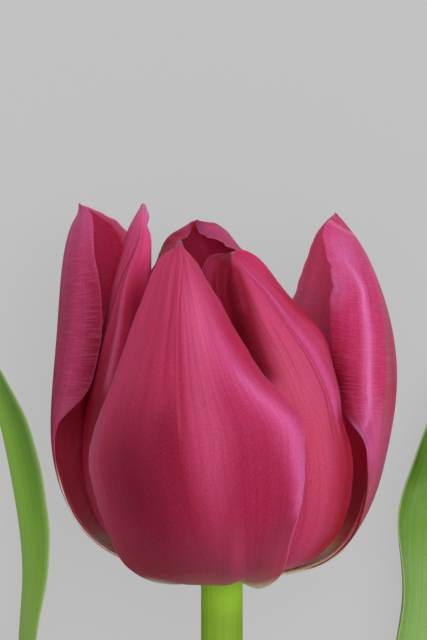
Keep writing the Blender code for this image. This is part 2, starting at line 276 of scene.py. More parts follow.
# (distance above the cut, radius) round the cut end, which is faintly dished
CUT_END = [(0.12, 3.46), (0, 3.36), (0.0, 3.0), (0.12, 2.2), (0.2, 1.2)]

below = np.linspace(STALK_START, STEM_LENGTH - STALK_MARGIN, STEM_RINGS)
wander = RIB_WANDER * np.sin(below[:, None] / RIB_WANDER_LENGTH)
ribbing = 1 - RIB_DEPTH / 2 * (1 + np.cos(STEM_RIBS * turns(STEM_SIDES)[None, :] + wander))
waisted = (1 - WAIST) + WAIST * np.cos(below[:, None] / WAIST_LENGTH)
plain = STEM_RADIUS * ribbing * waisted
top_points = np.array([(0, 0, height) for height, _ in RECEPTACLE], float)
top_radii = np.array([[radius] * STEM_SIDES for _, radius in RECEPTACLE])
end_points = stem_centre(np.array([STEM_LENGTH - above for above, _ in CUT_END]))
end_radii = np.array([[radius] * STEM_SIDES for _, radius in CUT_END])
stem = stalk(
    "cut_stem",
    np.concatenate([top_points, stem_centre(below), end_points]),
    np.array([1.0, 0, 0]),
    np.concatenate([top_radii, plain, end_radii]),
)

material, place = surface_of("stem skin")
turn, length = place.part("X"), place.part("Y")
fine = place.noise(60, 9, 3.1)
broad = place.noise(7, 3, 8.4)
colour = broad.rise(0.3, 0.7).between(STEM_GREEN, STEM_YELLOW)
colour = (fine.rise(0.45, 0.75) * 0.2).between(colour, STEM_SHADE)
colour = length.rise(0.985, 0.992).between(colour, CUT_PALE)
# Painted light: the stalk is made lighter just below the bloom, most on its right side, which faces the
# lamp, to stand in for light where the bloom's shadow falls.
colour = shaded(colour, 0.92 + length.rise(0.095, 0.055) * (turn.rise(0.4, 0.1) * 0.3 + 0.35))
finished(material, place, colour, 0.42 + fine * 0.12, fine + broad * 0.6, 0.00025, {
    "Specular IOR Level": 0.2, "Subsurface Weight": 0.6, "Subsurface Radius": (0.6, 1.0, 0.2),
    "Subsurface Scale": 0.003,
})
dressed(stem, material, "stem")

# ----------------------------------------------------------------------------------------------------------
# The two leaves: fleshy, smooth and faintly waxy, with fine lengthwise veins and a pale, slightly wavy
# margin. Each clasps the stem at its base. The left one stands on its edge, and the right one turns onto
# its back.
# ----------------------------------------------------------------------------------------------------------
LEAF_ROWS = 200
LEAF_COLUMNS = 64
LEAF_THICKNESS = 0.7
# of a blade's thickness, the share that its margins keep
MARGIN_SHARE = 0.3
# a blade narrower than this many thicknesses, near its tip, is thinner all over
FULL_WIDTH = 5
# how much closer together a blade's columns stand towards its margins
CROWDING = 0.4
# how far a rounded rim stands out of the blade's margin, in half thicknesses
RIM_BULGE = 0.8
LEAF_CHANNELS = 46
CHANNEL_DEPTH = 0.02
KEEL_DEPTH = 0.25
LEAF_VEIN = (0.08, 0.20, 0.02)
LEAF_BLOOM = (0.26, 0.42, 0.17)
LEAF_MARGIN = (0.34, 0.48, 0.16)

# A leaf is drawn by three guide curves from its base to its tip: its midrib and its two margins, left and
# right as seen from outside. facing is the side that the midrib's outer face looks to, in degrees from the
# front of the bloom, -y, round towards +x, at shares of the leaf's length.
LEAVES = {
    "leaf_left": {
        "left": [
            (-0.6, 17.4, -98), (-6, 19, -85), (-13, 20.2, -70), (-23, 21.2, -49), (-29, 21.5, -29),
            (-33, 21.3, -10), (-31.6, 21.5, 2), (-32, 21.5, 12), (-34, 21.2, 22), (-38.2, 19.5, 33),
            (-42.5, 16, 45), (-46, 11.8, 56),
        ],
        "midrib": [
            (-4.8, 12.7, -98), (-10, 12.4, -85), (-17.5, 12, -70), (-27, 11, -50), (-33, 10.5, -30),
            (-34.6, 10, -10), (-34, 10, 1), (-35.3, 10, 13.7), (-37.3, 10, 24), (-40.4, 10.3, 36),
            (-43.7, 10.7, 47), (-46.5, 11.2, 56.5),
        ],
        "right": [
            (-0.6, 8, -98), (-5.5, 6, -85), (-12, 3, -70), (-21.6, -1.5, -49), (-28.4, -3, -29),
            (-31, -2.5, -10), (-29.3, -3, 0), (-28.75, -3, 7), (-29.15, -3, 13.7), (-30.4, -2.5, 20.4),
            (-33.5, -1, 29.2), (-38.5, 2, 38), (-43.1, 7, 48), (-46, 10.8, 56),
        ],
        "facing": [(0, -90), (1, -90)],
    },
    "leaf_right": {
        "left": [
            (0.6, 11.2, -118), (6, 9.5, -106), (18, 7, -86), (33, 8, -60), (45, 12, -35), (51, 14, -10),
            (53, 14.5, 10), (54, 15, 28), (54, 15.6, 44), (52.6, 17, 57.5),
        ],
        "midrib": [
            (4.8, 16, -118), (9.5, 16.5, -105), (19, 18.4, -85), (29, 19.8, -60), (37, 20.3, -35),
            (41, 20.4, -10), (42.5, 20.4, 10), (45, 20, 28), (48.5, 19, 44), (52.2, 16.8, 58),
        ],
        "right": [
            (0.6, 20.7, -118), (6.5, 20.7, -105), (14, 20.4, -85), (22, 18.6, -60), (28, 15, -35),
            (30.1, 12, -10.8), (31.1, 12, -3.5), (30.5, 12, 4.7), (30.1, 12, 9.5), (30.7, 12, 13.7),
            (32.4, 12.3, 18.8), (35.1, 13, 26), (42, 15, 40), (51.6, 17.2, 57.5),
        ],
        "facing": [(0, 90), (0.3, 112), (0.55, 150), (1, 165)],
    },
}


def natural_spline(shares, values, at):
    """The natural cubic spline through values at the given shares, read at the shares in at."""
    shares = np.array(shares, float)
    values = np.array(values, float)
    step = np.diff(shares)
    slope = np.diff(values, axis=0) / step[:, None]
    system = np.eye(len(shares))
    right_side = np.zeros_like(values)
    for i in range(1, len(shares) - 1):
        system[i, i - 1 : i + 2] = step[i - 1], 2 * (step[i - 1] + step[i]), step[i]
        right_side[i] = 6 * (slope[i] - slope[i - 1])
    bend = np.linalg.solve(system, right_side)
    i = np.clip(np.searchsorted(shares, at) - 1, 0, len(step) - 1)
    width = step[i][:, None]
    after = (at - shares[i])[:, None] / width
    before = 1 - after
    curve = (before**3 - before) * bend[i] + (after**3 - after) * bend[i + 1]
    return before * values[i] + after * values[i + 1] + width**2 / 6 * curve


def guide(points, at):
    """The smooth curve through points, read at shares of its length."""
    runs = np.linalg.norm(np.diff(np.array(points, float), axis=0), axis=1)
    shares = np.concatenate([[0], np.cumsum(runs)]) / runs.sum()
    return natural_spline(shares, points, at)


def cup(start, heading, end, shares):
    """Points on the arc that leaves start along heading and meets end, one cubic Bezier curve to a row."""
    chord = end - start
    length = np.linalg.norm(chord, axis=1)[:, None]
    chord = chord / length
    cosine = np.clip((heading * chord).sum(axis=1), -0.95, 0.9999)[:, None]
    angle = np.arccos(cosine)
    handle = length * (2 / 3) * np.tan(angle / 2) / np.sin(angle)
    near = start + handle * heading
    far = end - handle * (2 * cosine * chord - heading)
    q = shares[..., None]
    start, near, far, end = (p[:, None] for p in (start, near, far, end))
    return (1 - q) ** 3 * start + 3 * (1 - q) ** 2 * q * near + 3 * (1 - q) * q**2 * far + q**3 * end


def blade_face(shape, s, t):
    """The outer face of a blade at s, from -1 at its left margin to 1 at its right, and t, base to tip."""
    along = t[:, 0]
    left, midrib, right = (guide(shape[name], along) for name in ("left", "midrib", "right"))
    facing_shares, facing_angles = zip(*shape["facing"])
    facing = np.radians(natural_spline(facing_shares, np.array(facing_angles)[:, None], along)[:, 0])
    side = np.column_stack([np.cos(facing), np.sin(facing), np.zeros_like(facing)])
    left_half = cup(midrib, -side, left, abs(s))
    right_half = cup(midrib, side, right, abs(s))
    return np.where((s < 0)[..., None], left_half, right_half)


def outward(points):
    return unit(np.cross(np.gradient(points, axis=1), np.gradient(points, axis=0)))


def blade(node, guides, rows, columns, thickness, relief, reach):
    """The leaf or petal of a node. relief(s, t) raises its outer face in millimetres, and reach(side, t)
    says how far out each margin lies, as a share of the half width that its guides give."""
    even = np.linspace(-1, 1, columns + 1)
    crowded = (1 - CROWDING) * even + CROWDING * np.sin(even * pi / 2)
    s, t = np.meshgrid(crowded, np.linspace(0, 1, rows + 1))
    face = blade_face(guides[node], s * reach(np.sign(s), t), t)
    face = face + outward(face) * relief(s, t)[..., None]
    normal = outward(face)
    width = np.linalg.norm(face[:, 0] - face[:, -1], axis=1)[:, None]
    fullness = np.minimum(width / (FULL_WIDTH * thickness), 1)
    deep = thickness * fullness * (1 - (1 - MARGIN_SHARE) * abs(s) ** 4)
    back = face - normal * deep[..., None]

    count = face.shape[0] * face.shape[1]
    corner = np.arange(count).reshape(face.shape[:2])
    quads = [corner[:-1, :-1], corner[:-1, 1:], corner[1:, 1:], corner[1:, :-1]]
    front_faces = np.stack(quads, axis=-1).reshape(-1, 4)
    back_faces = front_faces[:, ::-1] + count

    loop = np.concatenate([corner[0, :-1], corner[:-1, -1], corner[-1, :0:-1], corner[:0:-1, 0]])
    inner_loop = np.concatenate([corner[1, :-1], corner[:-1, -2], corner[-2, :0:-1], corner[:0:-1, 1]])
    flat, flat_back = face.reshape(-1, 3), back.reshape(-1, 3)
    outwards = unit(flat[loop] - flat[inner_loop])
    middle = (flat[loop] + flat_back[loop]) / 2
    half = np.linalg.norm(flat[loop] - flat_back[loop], axis=1, keepdims=True) / 2
    rim = middle + outwards * half * RIM_BULGE
    rim_index = 2 * count + np.arange(len(loop))
    following = np.roll(np.arange(len(loop)), -1)
    near_rim = np.stack([loop[following], loop, rim_index, rim_index[following]], axis=-1)
    far_rim = np.stack([rim_index[following], rim_index, loop + count, loop[following] + count], axis=-1)

    points = np.concatenate([flat, flat_back, rim])
    place = np.stack([(s + 1) / 2, t], axis=-1).reshape(-1, 2)
    place = np.concatenate([place, place, place[loop]])
    inside = np.concatenate([np.zeros(count), np.ones(count), np.full(len(loop), 0.5)]).astype(np.float32)
    return solid(node + "_blade", points, [*front_faces, *back_faces, *near_rim, *far_rim], place, inside)


def swell(s, t, middle, spread):
    """A smooth rise of 1 at a place on a blade, spread wide (across, along)."""
    return np.exp(-(((s - middle[0]) / spread[0]) ** 2) - ((t - middle[1]) / spread[1]) ** 2)


def leaf_relief(s, t):
    """Fine channels along the leaf, and the shallow keel of its midrib."""
    channels = CHANNEL_DEPTH * np.cos(s * LEAF_CHANNELS) * (1 - s**6)
    return channels - KEEL_DEPTH * swell(s, t, (0, 0.5), (0.12, 0.5))


def leaf_reach(side, t):
    """Two gentle waves along each margin."""
    return 1 + 0.006 * np.sin(t * 47 + side * 2) + 0.004 * np.sin(t * 111 + side)


def washed(place, colour, washes):
    """Lays colours over soft oval places, each given as (colour, amount, middle, spread)."""
    for shade, amount, middle, spread in washes:
        local = place.node("ShaderNodeMapping", {"vector_type": "TEXTURE"}, {
            "Vector": place, "Location": ((middle[0] + 1) / 2, middle[1], 0),
            "Scale": (spread[0] / 2, spread[1], 1),
        })
        oval = local.node("ShaderNodeTexGradient", {"gradient_type": "SPHERICAL"}, {"Vector": local})
        colour = (oval.rise(0, 1) * amount).between(colour, shade)
    return colour


def leaf_skin(name, seed, greens, washes, bloom):
    """Green along the leaf with washes over it, veined lengthwise, with a waxy bloom and a pale margin."""
    material, place = surface_of(name)
    edge = abs(place.part("X") * 2 - 1)
    veins = place.noise(90, 2.5, seed, detail=2.0)
    cloud = place.noise(5, 14, seed + 5)
    grain = place.noise(160, 700, seed + 9, detail=2.0)
    colour = washed(place, place.part("Y").ramp(greens), washes)
    colour = (veins.rise(0.45, 0.7) * 0.09).between(colour, LEAF_VEIN)
    colour = (cloud.rise(0.5, 0.3) * bloom).between(colour, LEAF_BLOOM)
    colour = (edge.rise(0.9, 1.0) * 0.35).between(colour, LEAF_MARGIN)
    colour = (edge.rise(0.97, 0.99) * 0.4).between(colour, LEAF_MARGIN)
    colour = shaded(colour, 0.86 + grain * 0.12 + cloud * 0.16)
    return finished(material, place, colour, 0.45 + veins * 0.12, veins + cloud * 0.4, 0.0002, {
        "Specular IOR Level": 0.25,
    })


# the pale base of both leaves
LEAF_BASE = [(0.0, (0.34, 0.44, 0.16)), (0.2, (0.20, 0.36, 0.08))]
left_greens = [
    *LEAF_BASE, (0.6, (0.21, 0.37, 0.045)), (0.7, (0.195, 0.41, 0.020)), (0.8, (0.21, 0.43, 0.016)),
    (1.0, (0.26, 0.48, 0.018)),
]
left_washes = [
    ((0.22, 0.38, 0.032), 0.5, (-0.4, 0.7), (0.5, 0.3)),
    # painted shade: this wash darkens the right margin towards the tip, where the rolled margin turns away
    # from the light
    ((0.05, 0.13, 0.010), 0.9, (1.0, 0.80), (0.6, 0.26)),
]
# painted shade: the green darkens from about 0.7 of the length to the tip, where the leaf turns away from
# the light
right_greens = [
    *LEAF_BASE, (0.6, (0.235, 0.395, 0.11)), (0.67, (0.205, 0.36, 0.09)), (0.72, (0.145, 0.28, 0.037)),
    (0.77, (0.115, 0.22, 0.023)), (0.85, (0.10, 0.20, 0.025)), (1.0, (0.12, 0.24, 0.03)),
]
# painted shade: a dark band at the right margin near 0.78 of the length
right_washes = [((0.05, 0.12, 0.012), 0.9, (1.0, 0.775), (0.5, 0.035))]
for name, seed, greens, washes, bloom in (
    ("leaf_left", 2.0, left_greens, left_washes, 0.05),
    ("leaf_right", 11.0, right_greens, right_washes, 0.3),
):
    leaf = blade(name, LEAVES, LEAF_ROWS, LEAF_COLUMNS, LEAF_THICKNESS, leaf_relief, leaf_reach)
    dressed(leaf, leaf_skin(name + " skin", seed, greens, washes, bloom), name)

# ----------------------------------------------------------------------------------------------------------
# The pistil: one piece of soft tissue, a three-sided, pale green ovary that stands on the receptacle, with
# a creamy three-lobed stigma on top. It is grown in rings from its foot to its crown.
# ----------------------------------------------------------------------------------------------------------
# (radius, height, depth of its three lobes) from its foot up to the middle of its crown
PISTIL = [
    (0.0, 6.1, 0), (1.0, 6.15, 0), (1.5, 6.4, 0), (2.1, 8, 0.1), (2.6, 11.5, 0.12), (2.6, 16, 0.12),
    (2.3, 20.5, 0.1), (1.9, 22.6, 0.1), (2.5, 23.7, 0.25), (3.2, 25.4, 0.3), (2.9, 26.3, 0.3),
    (2.1, 26.6, 0.3), (1.0, 26.1, 0.2), (0.0, 25.9, 0),
]
PISTIL_SIDES = 60
PISTIL_RINGS = 90
LEAST_RADIUS = 0.02
OVARY_GREEN = (0.42, 0.52, 0.20)
OVARY_STREAK = (0.30, 0.44, 0.14)
STIGMA_CREAM = (0.66, 0.60, 0.30)

outline = guide(PISTIL, np.linspace(0, 1, PISTIL_RINGS))
outline[:, 0] = np.maximum(outline[:, 0], LEAST_RADIUS)
angles = turns(PISTIL_SIDES)
lobes = 1 + outline[:, 2:3] * np.cos(3 * angles)[None, :] - 0.03 * np.cos(6 * angles)[None, :]
centres = np.stack([np.zeros(PISTIL_RINGS), np.zeros(PISTIL_RINGS), outline[:, 1]], axis=-1)
ring = np.stack([np.cos(angles), np.sin(angles), np.zeros(PISTIL_SIDES)], axis=-1)
points = centres[:, None] + ring[None] * (outline[:, 0:1] * lobes)[..., None]
pistil = round_body("pistil_body", centres, points)

material, place = surface_of("pistil flesh")
height = place.part("Y")
grain = place.noise(40, 40, 4.4)
streak = place.noise(24, 3, 1.9)
colour = height.rise(0.62, 0.72).between(OVARY_GREEN, STIGMA_CREAM)
colour = (streak.rise(0.4, 0.7) * 0.3).between(colour, OVARY_STREAK)
finished(material, place, colour, 0.5 + grain * 0.1, grain, 0.0003, {"Specular IOR Level": 0.4})
dressed(pistil, material, "pistil")

# ----------------------------------------------------------------------------------------------------------
# The six stamens: each a dark, tapering filament rooted on the receptacle beside the pistil, with a
# long purple-black anther on its tip, grooved down the middle and dusty with pollen.
# ----------------------------------------------------------------------------------------------------------
STAMENS = 6
# (distance out from the pistil's axis, height) from a filament's foot to its tip
FILAMENT = [(2.6, 6.1), (2.7, 7), (3.9, 9.1), (5.2, 11.4), (6.2, 13.4), (6.7, 15.1)]
FILAMENT_RADIUS = 0.6
FILAMENT_TAPER = 0.6
FILAMENT_END = 0.5
FILAMENT_RINGS = 30
FILAMENT_SIDES = 16
# an anther's half sizes (outwards, sideways, along) and its middle (out, height)
ANTHER_HALF = (1.0, 1.25, 5.8)
ANTHER_CENTRE = (7.3, 21.3)
ANTHER_LEAN = np.radians(7.0)
ANTHER_RINGS = 48
ANTHER_SIDES = 36
# how blunt an anther's ends are, from 1, an oval's, down towards 0, flat, and the girth that they keep
ANTHER_BLUNTNESS = 0.7
LEAST_GIRTH = 0.002
GROOVE_DEPTH = 0.22
GROOVE_WIDTH = 0.03
FILAMENT_FOOT = (0.30, 0.26, 0.12)
FILAMENT_DARK = (0.10, 0.02, 0.06)
FILAMENT_FLECK = (0.18, 0.05, 0.10)
ANTHER_BLACK = (0.035, 0.015, 0.03)
ANTHER_PURPLE = (0.09, 0.035, 0.07)
POLLEN = (0.22, 0.12, 0.10)

filament_skin, place = surface_of("filament skin")
height = place.part("Y")
grain = place.noise(12, 6, 6.6)
colour = height.rise(0.1, 0.5).between(FILAMENT_FOOT, FILAMENT_DARK)
colour = (grain.rise(0.4, 0.7) * 0.4).between(colour, FILAMENT_FLECK)
finished(filament_skin, place, colour, 0.45 + grain * 0.1, grain, 0.0002, {"Specular IOR Level": 0.4})

anther_skin, place = surface_of("anther skin")
grain = place.noise(60, 90, 7.7, detail=5.0)
dust = place.noise(120, 200, 9.3, detail=2.0)
colour = grain.rise(0.35, 0.7).between(ANTHER_BLACK, ANTHER_PURPLE)
colour = dust.rise(0.62, 0.7).between(colour, POLLEN)
finished(anther_skin, place, colour, 0.75 + grain * 0.15, grain + dust * 0.5, 0.0003, {})

line = guide(FILAMENT, np.linspace(0, 1, FILAMENT_RINGS))
taper = np.linspace(1, FILAMENT_TAPER, FILAMENT_RINGS)[:, None]
taper = taper * np.ones((1, FILAMENT_SIDES)) * FILAMENT_RADIUS
taper[[0, -1]] *= FILAMENT_END

level = np.sin(np.linspace(-pi / 2, pi / 2, ANTHER_RINGS))
girth = np.sqrt(np.maximum(1 - level**2, 0.0)) ** ANTHER_BLUNTNESS + LEAST_GIRTH
angles = turns(ANTHER_SIDES)
half_out, half_wide, half_long = ANTHER_HALF
groove = 1 - GROOVE_DEPTH * np.exp(-(np.sin(angles) ** 2) / GROOVE_WIDTH)
out = half_out * np.cos(angles) * groove
wide = half_wide * np.sin(angles)
upward = np.array([0, 0, 1.0])

for number in range(1, STAMENS + 1):
    turn = tau * (number - 1) / STAMENS
    outwards = np.array([cos(turn), sin(turn), 0])
    sideways = np.array([-sin(turn), cos(turn), 0])
    centres = line[:, 0:1] * outwards + line[:, 1:2] * upward
    filament = stalk(f"filament_{number}_stalk", centres, -sideways, taper)
    dressed(filament, filament_skin, f"filament_{number}")

    axis = cos(ANTHER_LEAN) * upward + sin(ANTHER_LEAN) * outwards
    across = cos(ANTHER_LEAN) * outwards - sin(ANTHER_LEAN) * upward
    middle = ANTHER_CENTRE[0] * outwards + ANTHER_CENTRE[1] * upward
    centres = middle + half_long * level[:, None] * axis
    cross_section = out[:, None] * across + wide[:, None] * sideways
    points = centres[:, None] + girth[:, None, None] * cross_section[None]
    anther = round_body(f"anther_{number}_body", centres, points)
    dressed(anther, anther_skin, f"anther_{number}")

# ----------------------------------------------------------------------------------------------------------
# The three inner petals: satin, crimson-pink, deeply cupped and pleated lengthwise. Each springs from the
# receptacle, and their tips close over the stamens.
# ----------------------------------------------------------------------------------------------------------
PETAL_ROWS = 170
PETAL_COLUMNS = 110
PETAL_THICKNESS = 0.6
# the two waves along a petal's margin, and the pleats across its width, in radians over them
SLOW_WAVE, FAST_WAVE = 61, 143
PLEATING = 21
PLEAT_HEIGHT = 0.05
# the share of a petal's length over which a fold dies away at either end
FOLD_FADE = 0.06
PETAL_DEEP = (0.20, 0.008, 0.026)
PETAL_LILAC = (0.64, 0.15, 0.32)
PETAL_RIM = (0.52, 0.17, 0.27)
# the pale green at a petal's foot, where both faces' colours start
PETAL_FOOT = (0.0, (0.42, 0.42, 0.22))

INNER_PETALS = {
    "inner_petal_right": {
        "left": [
            (1, -2.7, 4.2), (3, -8, 3.5), (3.6, -13.8, 5.6), (3, -17.2, 11), (2, -19.4, 19),
            (0.5, -18.9, 28), (-1.6, -16, 37), (-3, -12, 45), (-3.3, -8.5, 51), (-2.6, -6, 54.3),
            (0, -4, 55), (1.3, -3, 55.1),
        ],
        "midrib": [
            (2.3, -1.8, 4.2), (6.5, -5.5, 2.8), (12.6, -8, 3.9), (16.9, -9.6, 8), (18.9, -10.8, 13.6),
            (19.2, -11.4, 20), (18.4, -11.6, 26), (16.7, -11.2, 31.2), (13.8, -9.8, 37.5),
            (9.7, -7.8, 43.8), (5.4, -5.3, 50), (2.8, -3.8, 53.8), (1.5, -3, 55.2),
        ],
        "right": [
            (2.7, 1, 4.2), (8, 3, 3), (14.2, 4.4, 5.6), (17.6, 6, 12.6), (18.2, 6.8, 21), (17, 6, 29),
            (15.6, 4.4, 37), (12.6, 1.8, 45.4), (8.7, -0.6, 51.3), (5.3, -1.9, 54.9), (3.2, -2.6, 55.6),
            (1.8, -2.9, 55.3),
        ],
        "facing": [(0, 56), (0.4, 58), (0.7, 44), (0.9, 44), (1, 50)],
    },
    "inner_petal_left": {
        "left": [
            (-2.7, 1, 4.2), (-7.5, 3, 3.8), (-12.5, 5, 7.4), (-16.6, 6.6, 14), (-19, 7.5, 22),
            (-19.2, 8, 30), (-18.5, 7.6, 38), (-17.7, 6, 46), (-17.2, 4, 52), (-16.1, 1, 58),
            (-13.5, -2.2, 62.8),
        ],
        "midrib": [
            (-2.3, -1.8, 4.2), (-7, -5, 3.6), (-13.2, -7.6, 4.8), (-17.8, -9, 9), (-20.4, -9.6, 15),
            (-21.1, -9.8, 23), (-20, -10.2, 31), (-17.9, -9.2, 42), (-16.3, -7.4, 50), (-14.3, -5, 57),
            (-13.1, -3, 63.3),
        ],
        "right": [
            (-1, -2.7, 4.2), (-3, -8, 3.5), (-4, -13.8, 5.6), (-4.8, -17.4, 11), (-5, -19.4, 19),
            (-5.2, -18.9, 28), (-7, -16, 37), (-10, -11, 45), (-11.6, -6, 51.5), (-11.7, -4, 56),
            (-12.3, -3, 60.2), (-12.8, -2.6, 62.8),
        ],
        "facing": [(0, -56), (0.5, -62), (1, -62)],
    },
    "inner_petal_back": {
        "left": [
            (1.4, 2.6, 4.2), (5.5, 7.3, 3.6), (9, 11, 6.6), (11.6, 13, 13), (13, 13.4, 21), (13, 13, 30),
            (11.6, 11, 38), (9.2, 7.3, 46), (5, 2.5, 53.5), (2.7, 1.5, 55.6), (0.8, 2, 56.4),
            (-1.4, 3, 57.5), (-3.2, 3.6, 58.0), (-4.5, 4.8, 60.5),
        ],
        "midrib": [
            (0, 3, 4.2), (0, 8, 3.6), (0, 13.2, 5), (0, 17.2, 9.5), (0, 19.1, 18), (-0.3, 19.3, 28),
            (-1, 18, 39), (-2.2, 15.4, 49), (-3.6, 11, 55.8), (-4.4, 7.5, 59.5), (-4.7, 5, 60.7),
        ],
        "right": [
            (-1.4, 2.6, 4.2), (-5.5, 7.3, 3.6), (-9, 11, 6.6), (-11.6, 13, 13), (-13, 13.4, 21),
            (-13.4, 13, 30), (-13.4, 11, 38), (-13.3, 7.3, 46), (-12, 3.2, 52), (-9.3, 1.6, 54.9),
            (-7.4, 2, 56.6), (-5.9, 3, 57.9), (-4.9, 4.8, 60.3),
        ],
        "facing": [(0, 180), (1, 180)],
    },
}


def lined(place, colour, lines):
    """Lays colours along paths of (along, across), each as (colour, amount, width, softness, path)."""
    across, along = place.part("X"), place.part("Y")
    for shade, amount, width, softness, path in lines:
        middle = along.profile([(t, (s + 1) / 2) for t, s in path])
        first, last = path[0][0], path[-1][0]
        strength = along.rise(first, first + 0.05) * along.rise(last, last - 0.05)
        distance = abs(across - middle)
        reach = width / 4
        colour = (distance.rise(reach, reach * (1 - softness)) * strength * amount).between(colour, shade)
    return colour


def petal_skin(name, seed, outer, inner, washes=(), lines=(), inner_lines=(), cross_lines=0.0):
    """A petal's material. outer and inner give its two faces' colours along its length, above its pale
    green foot, with washes and lines over the outer face, inner_lines over the inner one, and fine pale
    lines across the outer one."""
    material, place = surface_of(name)
    across, along = place.part("X"), place.part("Y")
    edge = abs(across * 2 - 1)
    veins = place.noise(64, 3.0, seed)
    bands = place.noise(22, 1.6, seed + 3)
    grain = place.noise(170, 230, seed + 7, detail=1.0)
    speckle = place.noise(130, 190, seed + 15, detail=1.0)
    colour = lined(place, washed(place, along.ramp([PETAL_FOOT, *outer]), washes), lines)
    colour = (veins.rise(0.42, 0.75) * 0.26).between(colour, PETAL_DEEP)
    colour = (bands.rise(0.45, 0.75) * 0.24).between(colour, PETAL_DEEP)
    brightness = 0.63 + grain * 0.44 + bands * 0.26 + veins * 0.05
    height = veins * 0.6 + bands * 0.5 + grain * 0.4
    if cross_lines:
        ripples = place.noise(6, 250, seed + 11, detail=1.0)
        colour = (ripples.rise(0.45, 0.7) * cross_lines).between(colour, PETAL_LILAC)
        brightness = brightness + (ripples - 0.5) * cross_lines
        height = height + ripples * 0.4
    colour = (edge.rise(0.975, 0.995) * 0.12).between(colour, PETAL_LILAC)
    depths = lined(place, along.ramp([PETAL_FOOT, *inner]), inner_lines)
    depths = (veins.rise(0.45, 0.8) * 0.1).between(depths, PETAL_DEEP)
    depths = (edge.rise(0.91, 0.96) * along.rise(0.55, 0.75) * 0.85).between(depths, PETAL_RIM)
    inside = place.node("ShaderNodeAttribute", {"attribute_name": "inside"}, {}, "Fac")
    colour = shaded(inside.rise(0.4, 0.9).between(colour, depths), brightness, 1.06 - speckle * 0.12)
    return finished(material, place, colour, 0.42 + grain * 0.12, height, 0.00012, {
        "Specular IOR Level": 0.2, "Specular Tint": (0.95, 0.2, 0.42, 1), "Subsurface Weight": 1.0,
        "Subsurface Radius": (1.0, 0.3, 0.4), "Subsurface Scale": 0.0015,
    })


def petal_reach(side, t):
    """Small waves along both margins."""
    return 1 + 0.004 * np.sin(t * SLOW_WAVE + 2 * side) + 0.003 * np.sin(t * FAST_WAVE + side)


def pleats(s, t, seed):
    """The faint lengthwise pleats that every petal has."""
    return PLEAT_HEIGHT * np.sin(s * PLEATING + seed + 2 * np.sin(t * 2)) * np.clip(t * 4, 0, 1)


def hump(x, middle, spread):
    """A smooth rise of 1 round middle."""
    return np.exp(-(((x - middle) / spread) ** 2))


def pleat(s, t, path, width):
    """A narrow rise of 1 along a path of (along, across) places, dying away at both ends."""
    along, across = zip(*path)
    ends = np.clip((t - along[0]) / FOLD_FADE, 0, 1) * np.clip((along[-1] - t) / FOLD_FADE, 0, 1)
    return hump(s, np.interp(t, along, across), width) * ends


def petal(name, guides, relief, reach, **looks):
    """A petal in the place of its node, and the skin that petal_skin makes of its looks."""
    piece = blade(name, guides, PETAL_ROWS, PETAL_COLUMNS, PETAL_THICKNESS, relief, reach)
    dressed(piece, petal_skin(name.replace("_", " ") + " skin", **looks), name)


# the colours inside a petal, from base to tip; painted light makes them lighter than its own crimson
INNER_FACE = [
    (0.08, (0.5, 0.2, 0.12)), (0.2, (0.5, 0.03, 0.07)), (0.6, (0.7, 0.05, 0.14)), (1.0, (0.88, 0.10, 0.26)),
]
# the sharp fold on the right petal's flank, beside the front petal, as (along, across)
FOLD = [
    (0.6, -0.6), (0.7, -0.58), (0.734, -0.56), (0.803, -0.5), (0.876, -0.41), (0.936, -0.35),
    (0.976, -0.43),
]
# the fine crease down the middle of the right petal
CREASE = [
    (0.36, -0.08), (0.47, -0.04), (0.54, -0.01), (0.6, 0.03), (0.69, 0.03), (0.78, 0.03), (0.83, 0.07),
    (0.87, 0.09), (0.9, 0.05), (0.926, -0.05), (0.973, -0.16),
]


def beside(path, step):
    """A path moved across the petal."""
    return [(t, s + step) for t, s in path]


def inner_right_relief(s, t):
    """A deep valley behind a sharp fold beside the front petal, two fine creases down the middle, and a
    right shoulder that bulges over a shallow hollow."""
    fold = np.interp(t, *zip(*FOLD))
    behind = 1 / (1 + np.exp((s - fold + 0.05) / 0.018))
    return (
        pleats(s, t, 0.4)
        - 2.4 * behind * np.clip((t - 0.6) / 0.15, 0, 1) * np.clip((0.95 - t) / 0.08, 0, 1)
        + 0.4 * pleat(s, t, beside(FOLD, 0.06), 0.09)
        + 0.3 * pleat(s, t, beside(CREASE, 0.12), 0.06)
        - 0.14 * pleat(s, t, CREASE, 0.018)
        - 0.12 * pleat(s, t, beside(CREASE, 0.05), 0.018)
        + 1.5 * swell(s, t, (0.75, 0.725), (0.45, 0.07))
        - 1.0 * swell(s, t, (0.4, 0.525), (0.4, 0.055))
    )


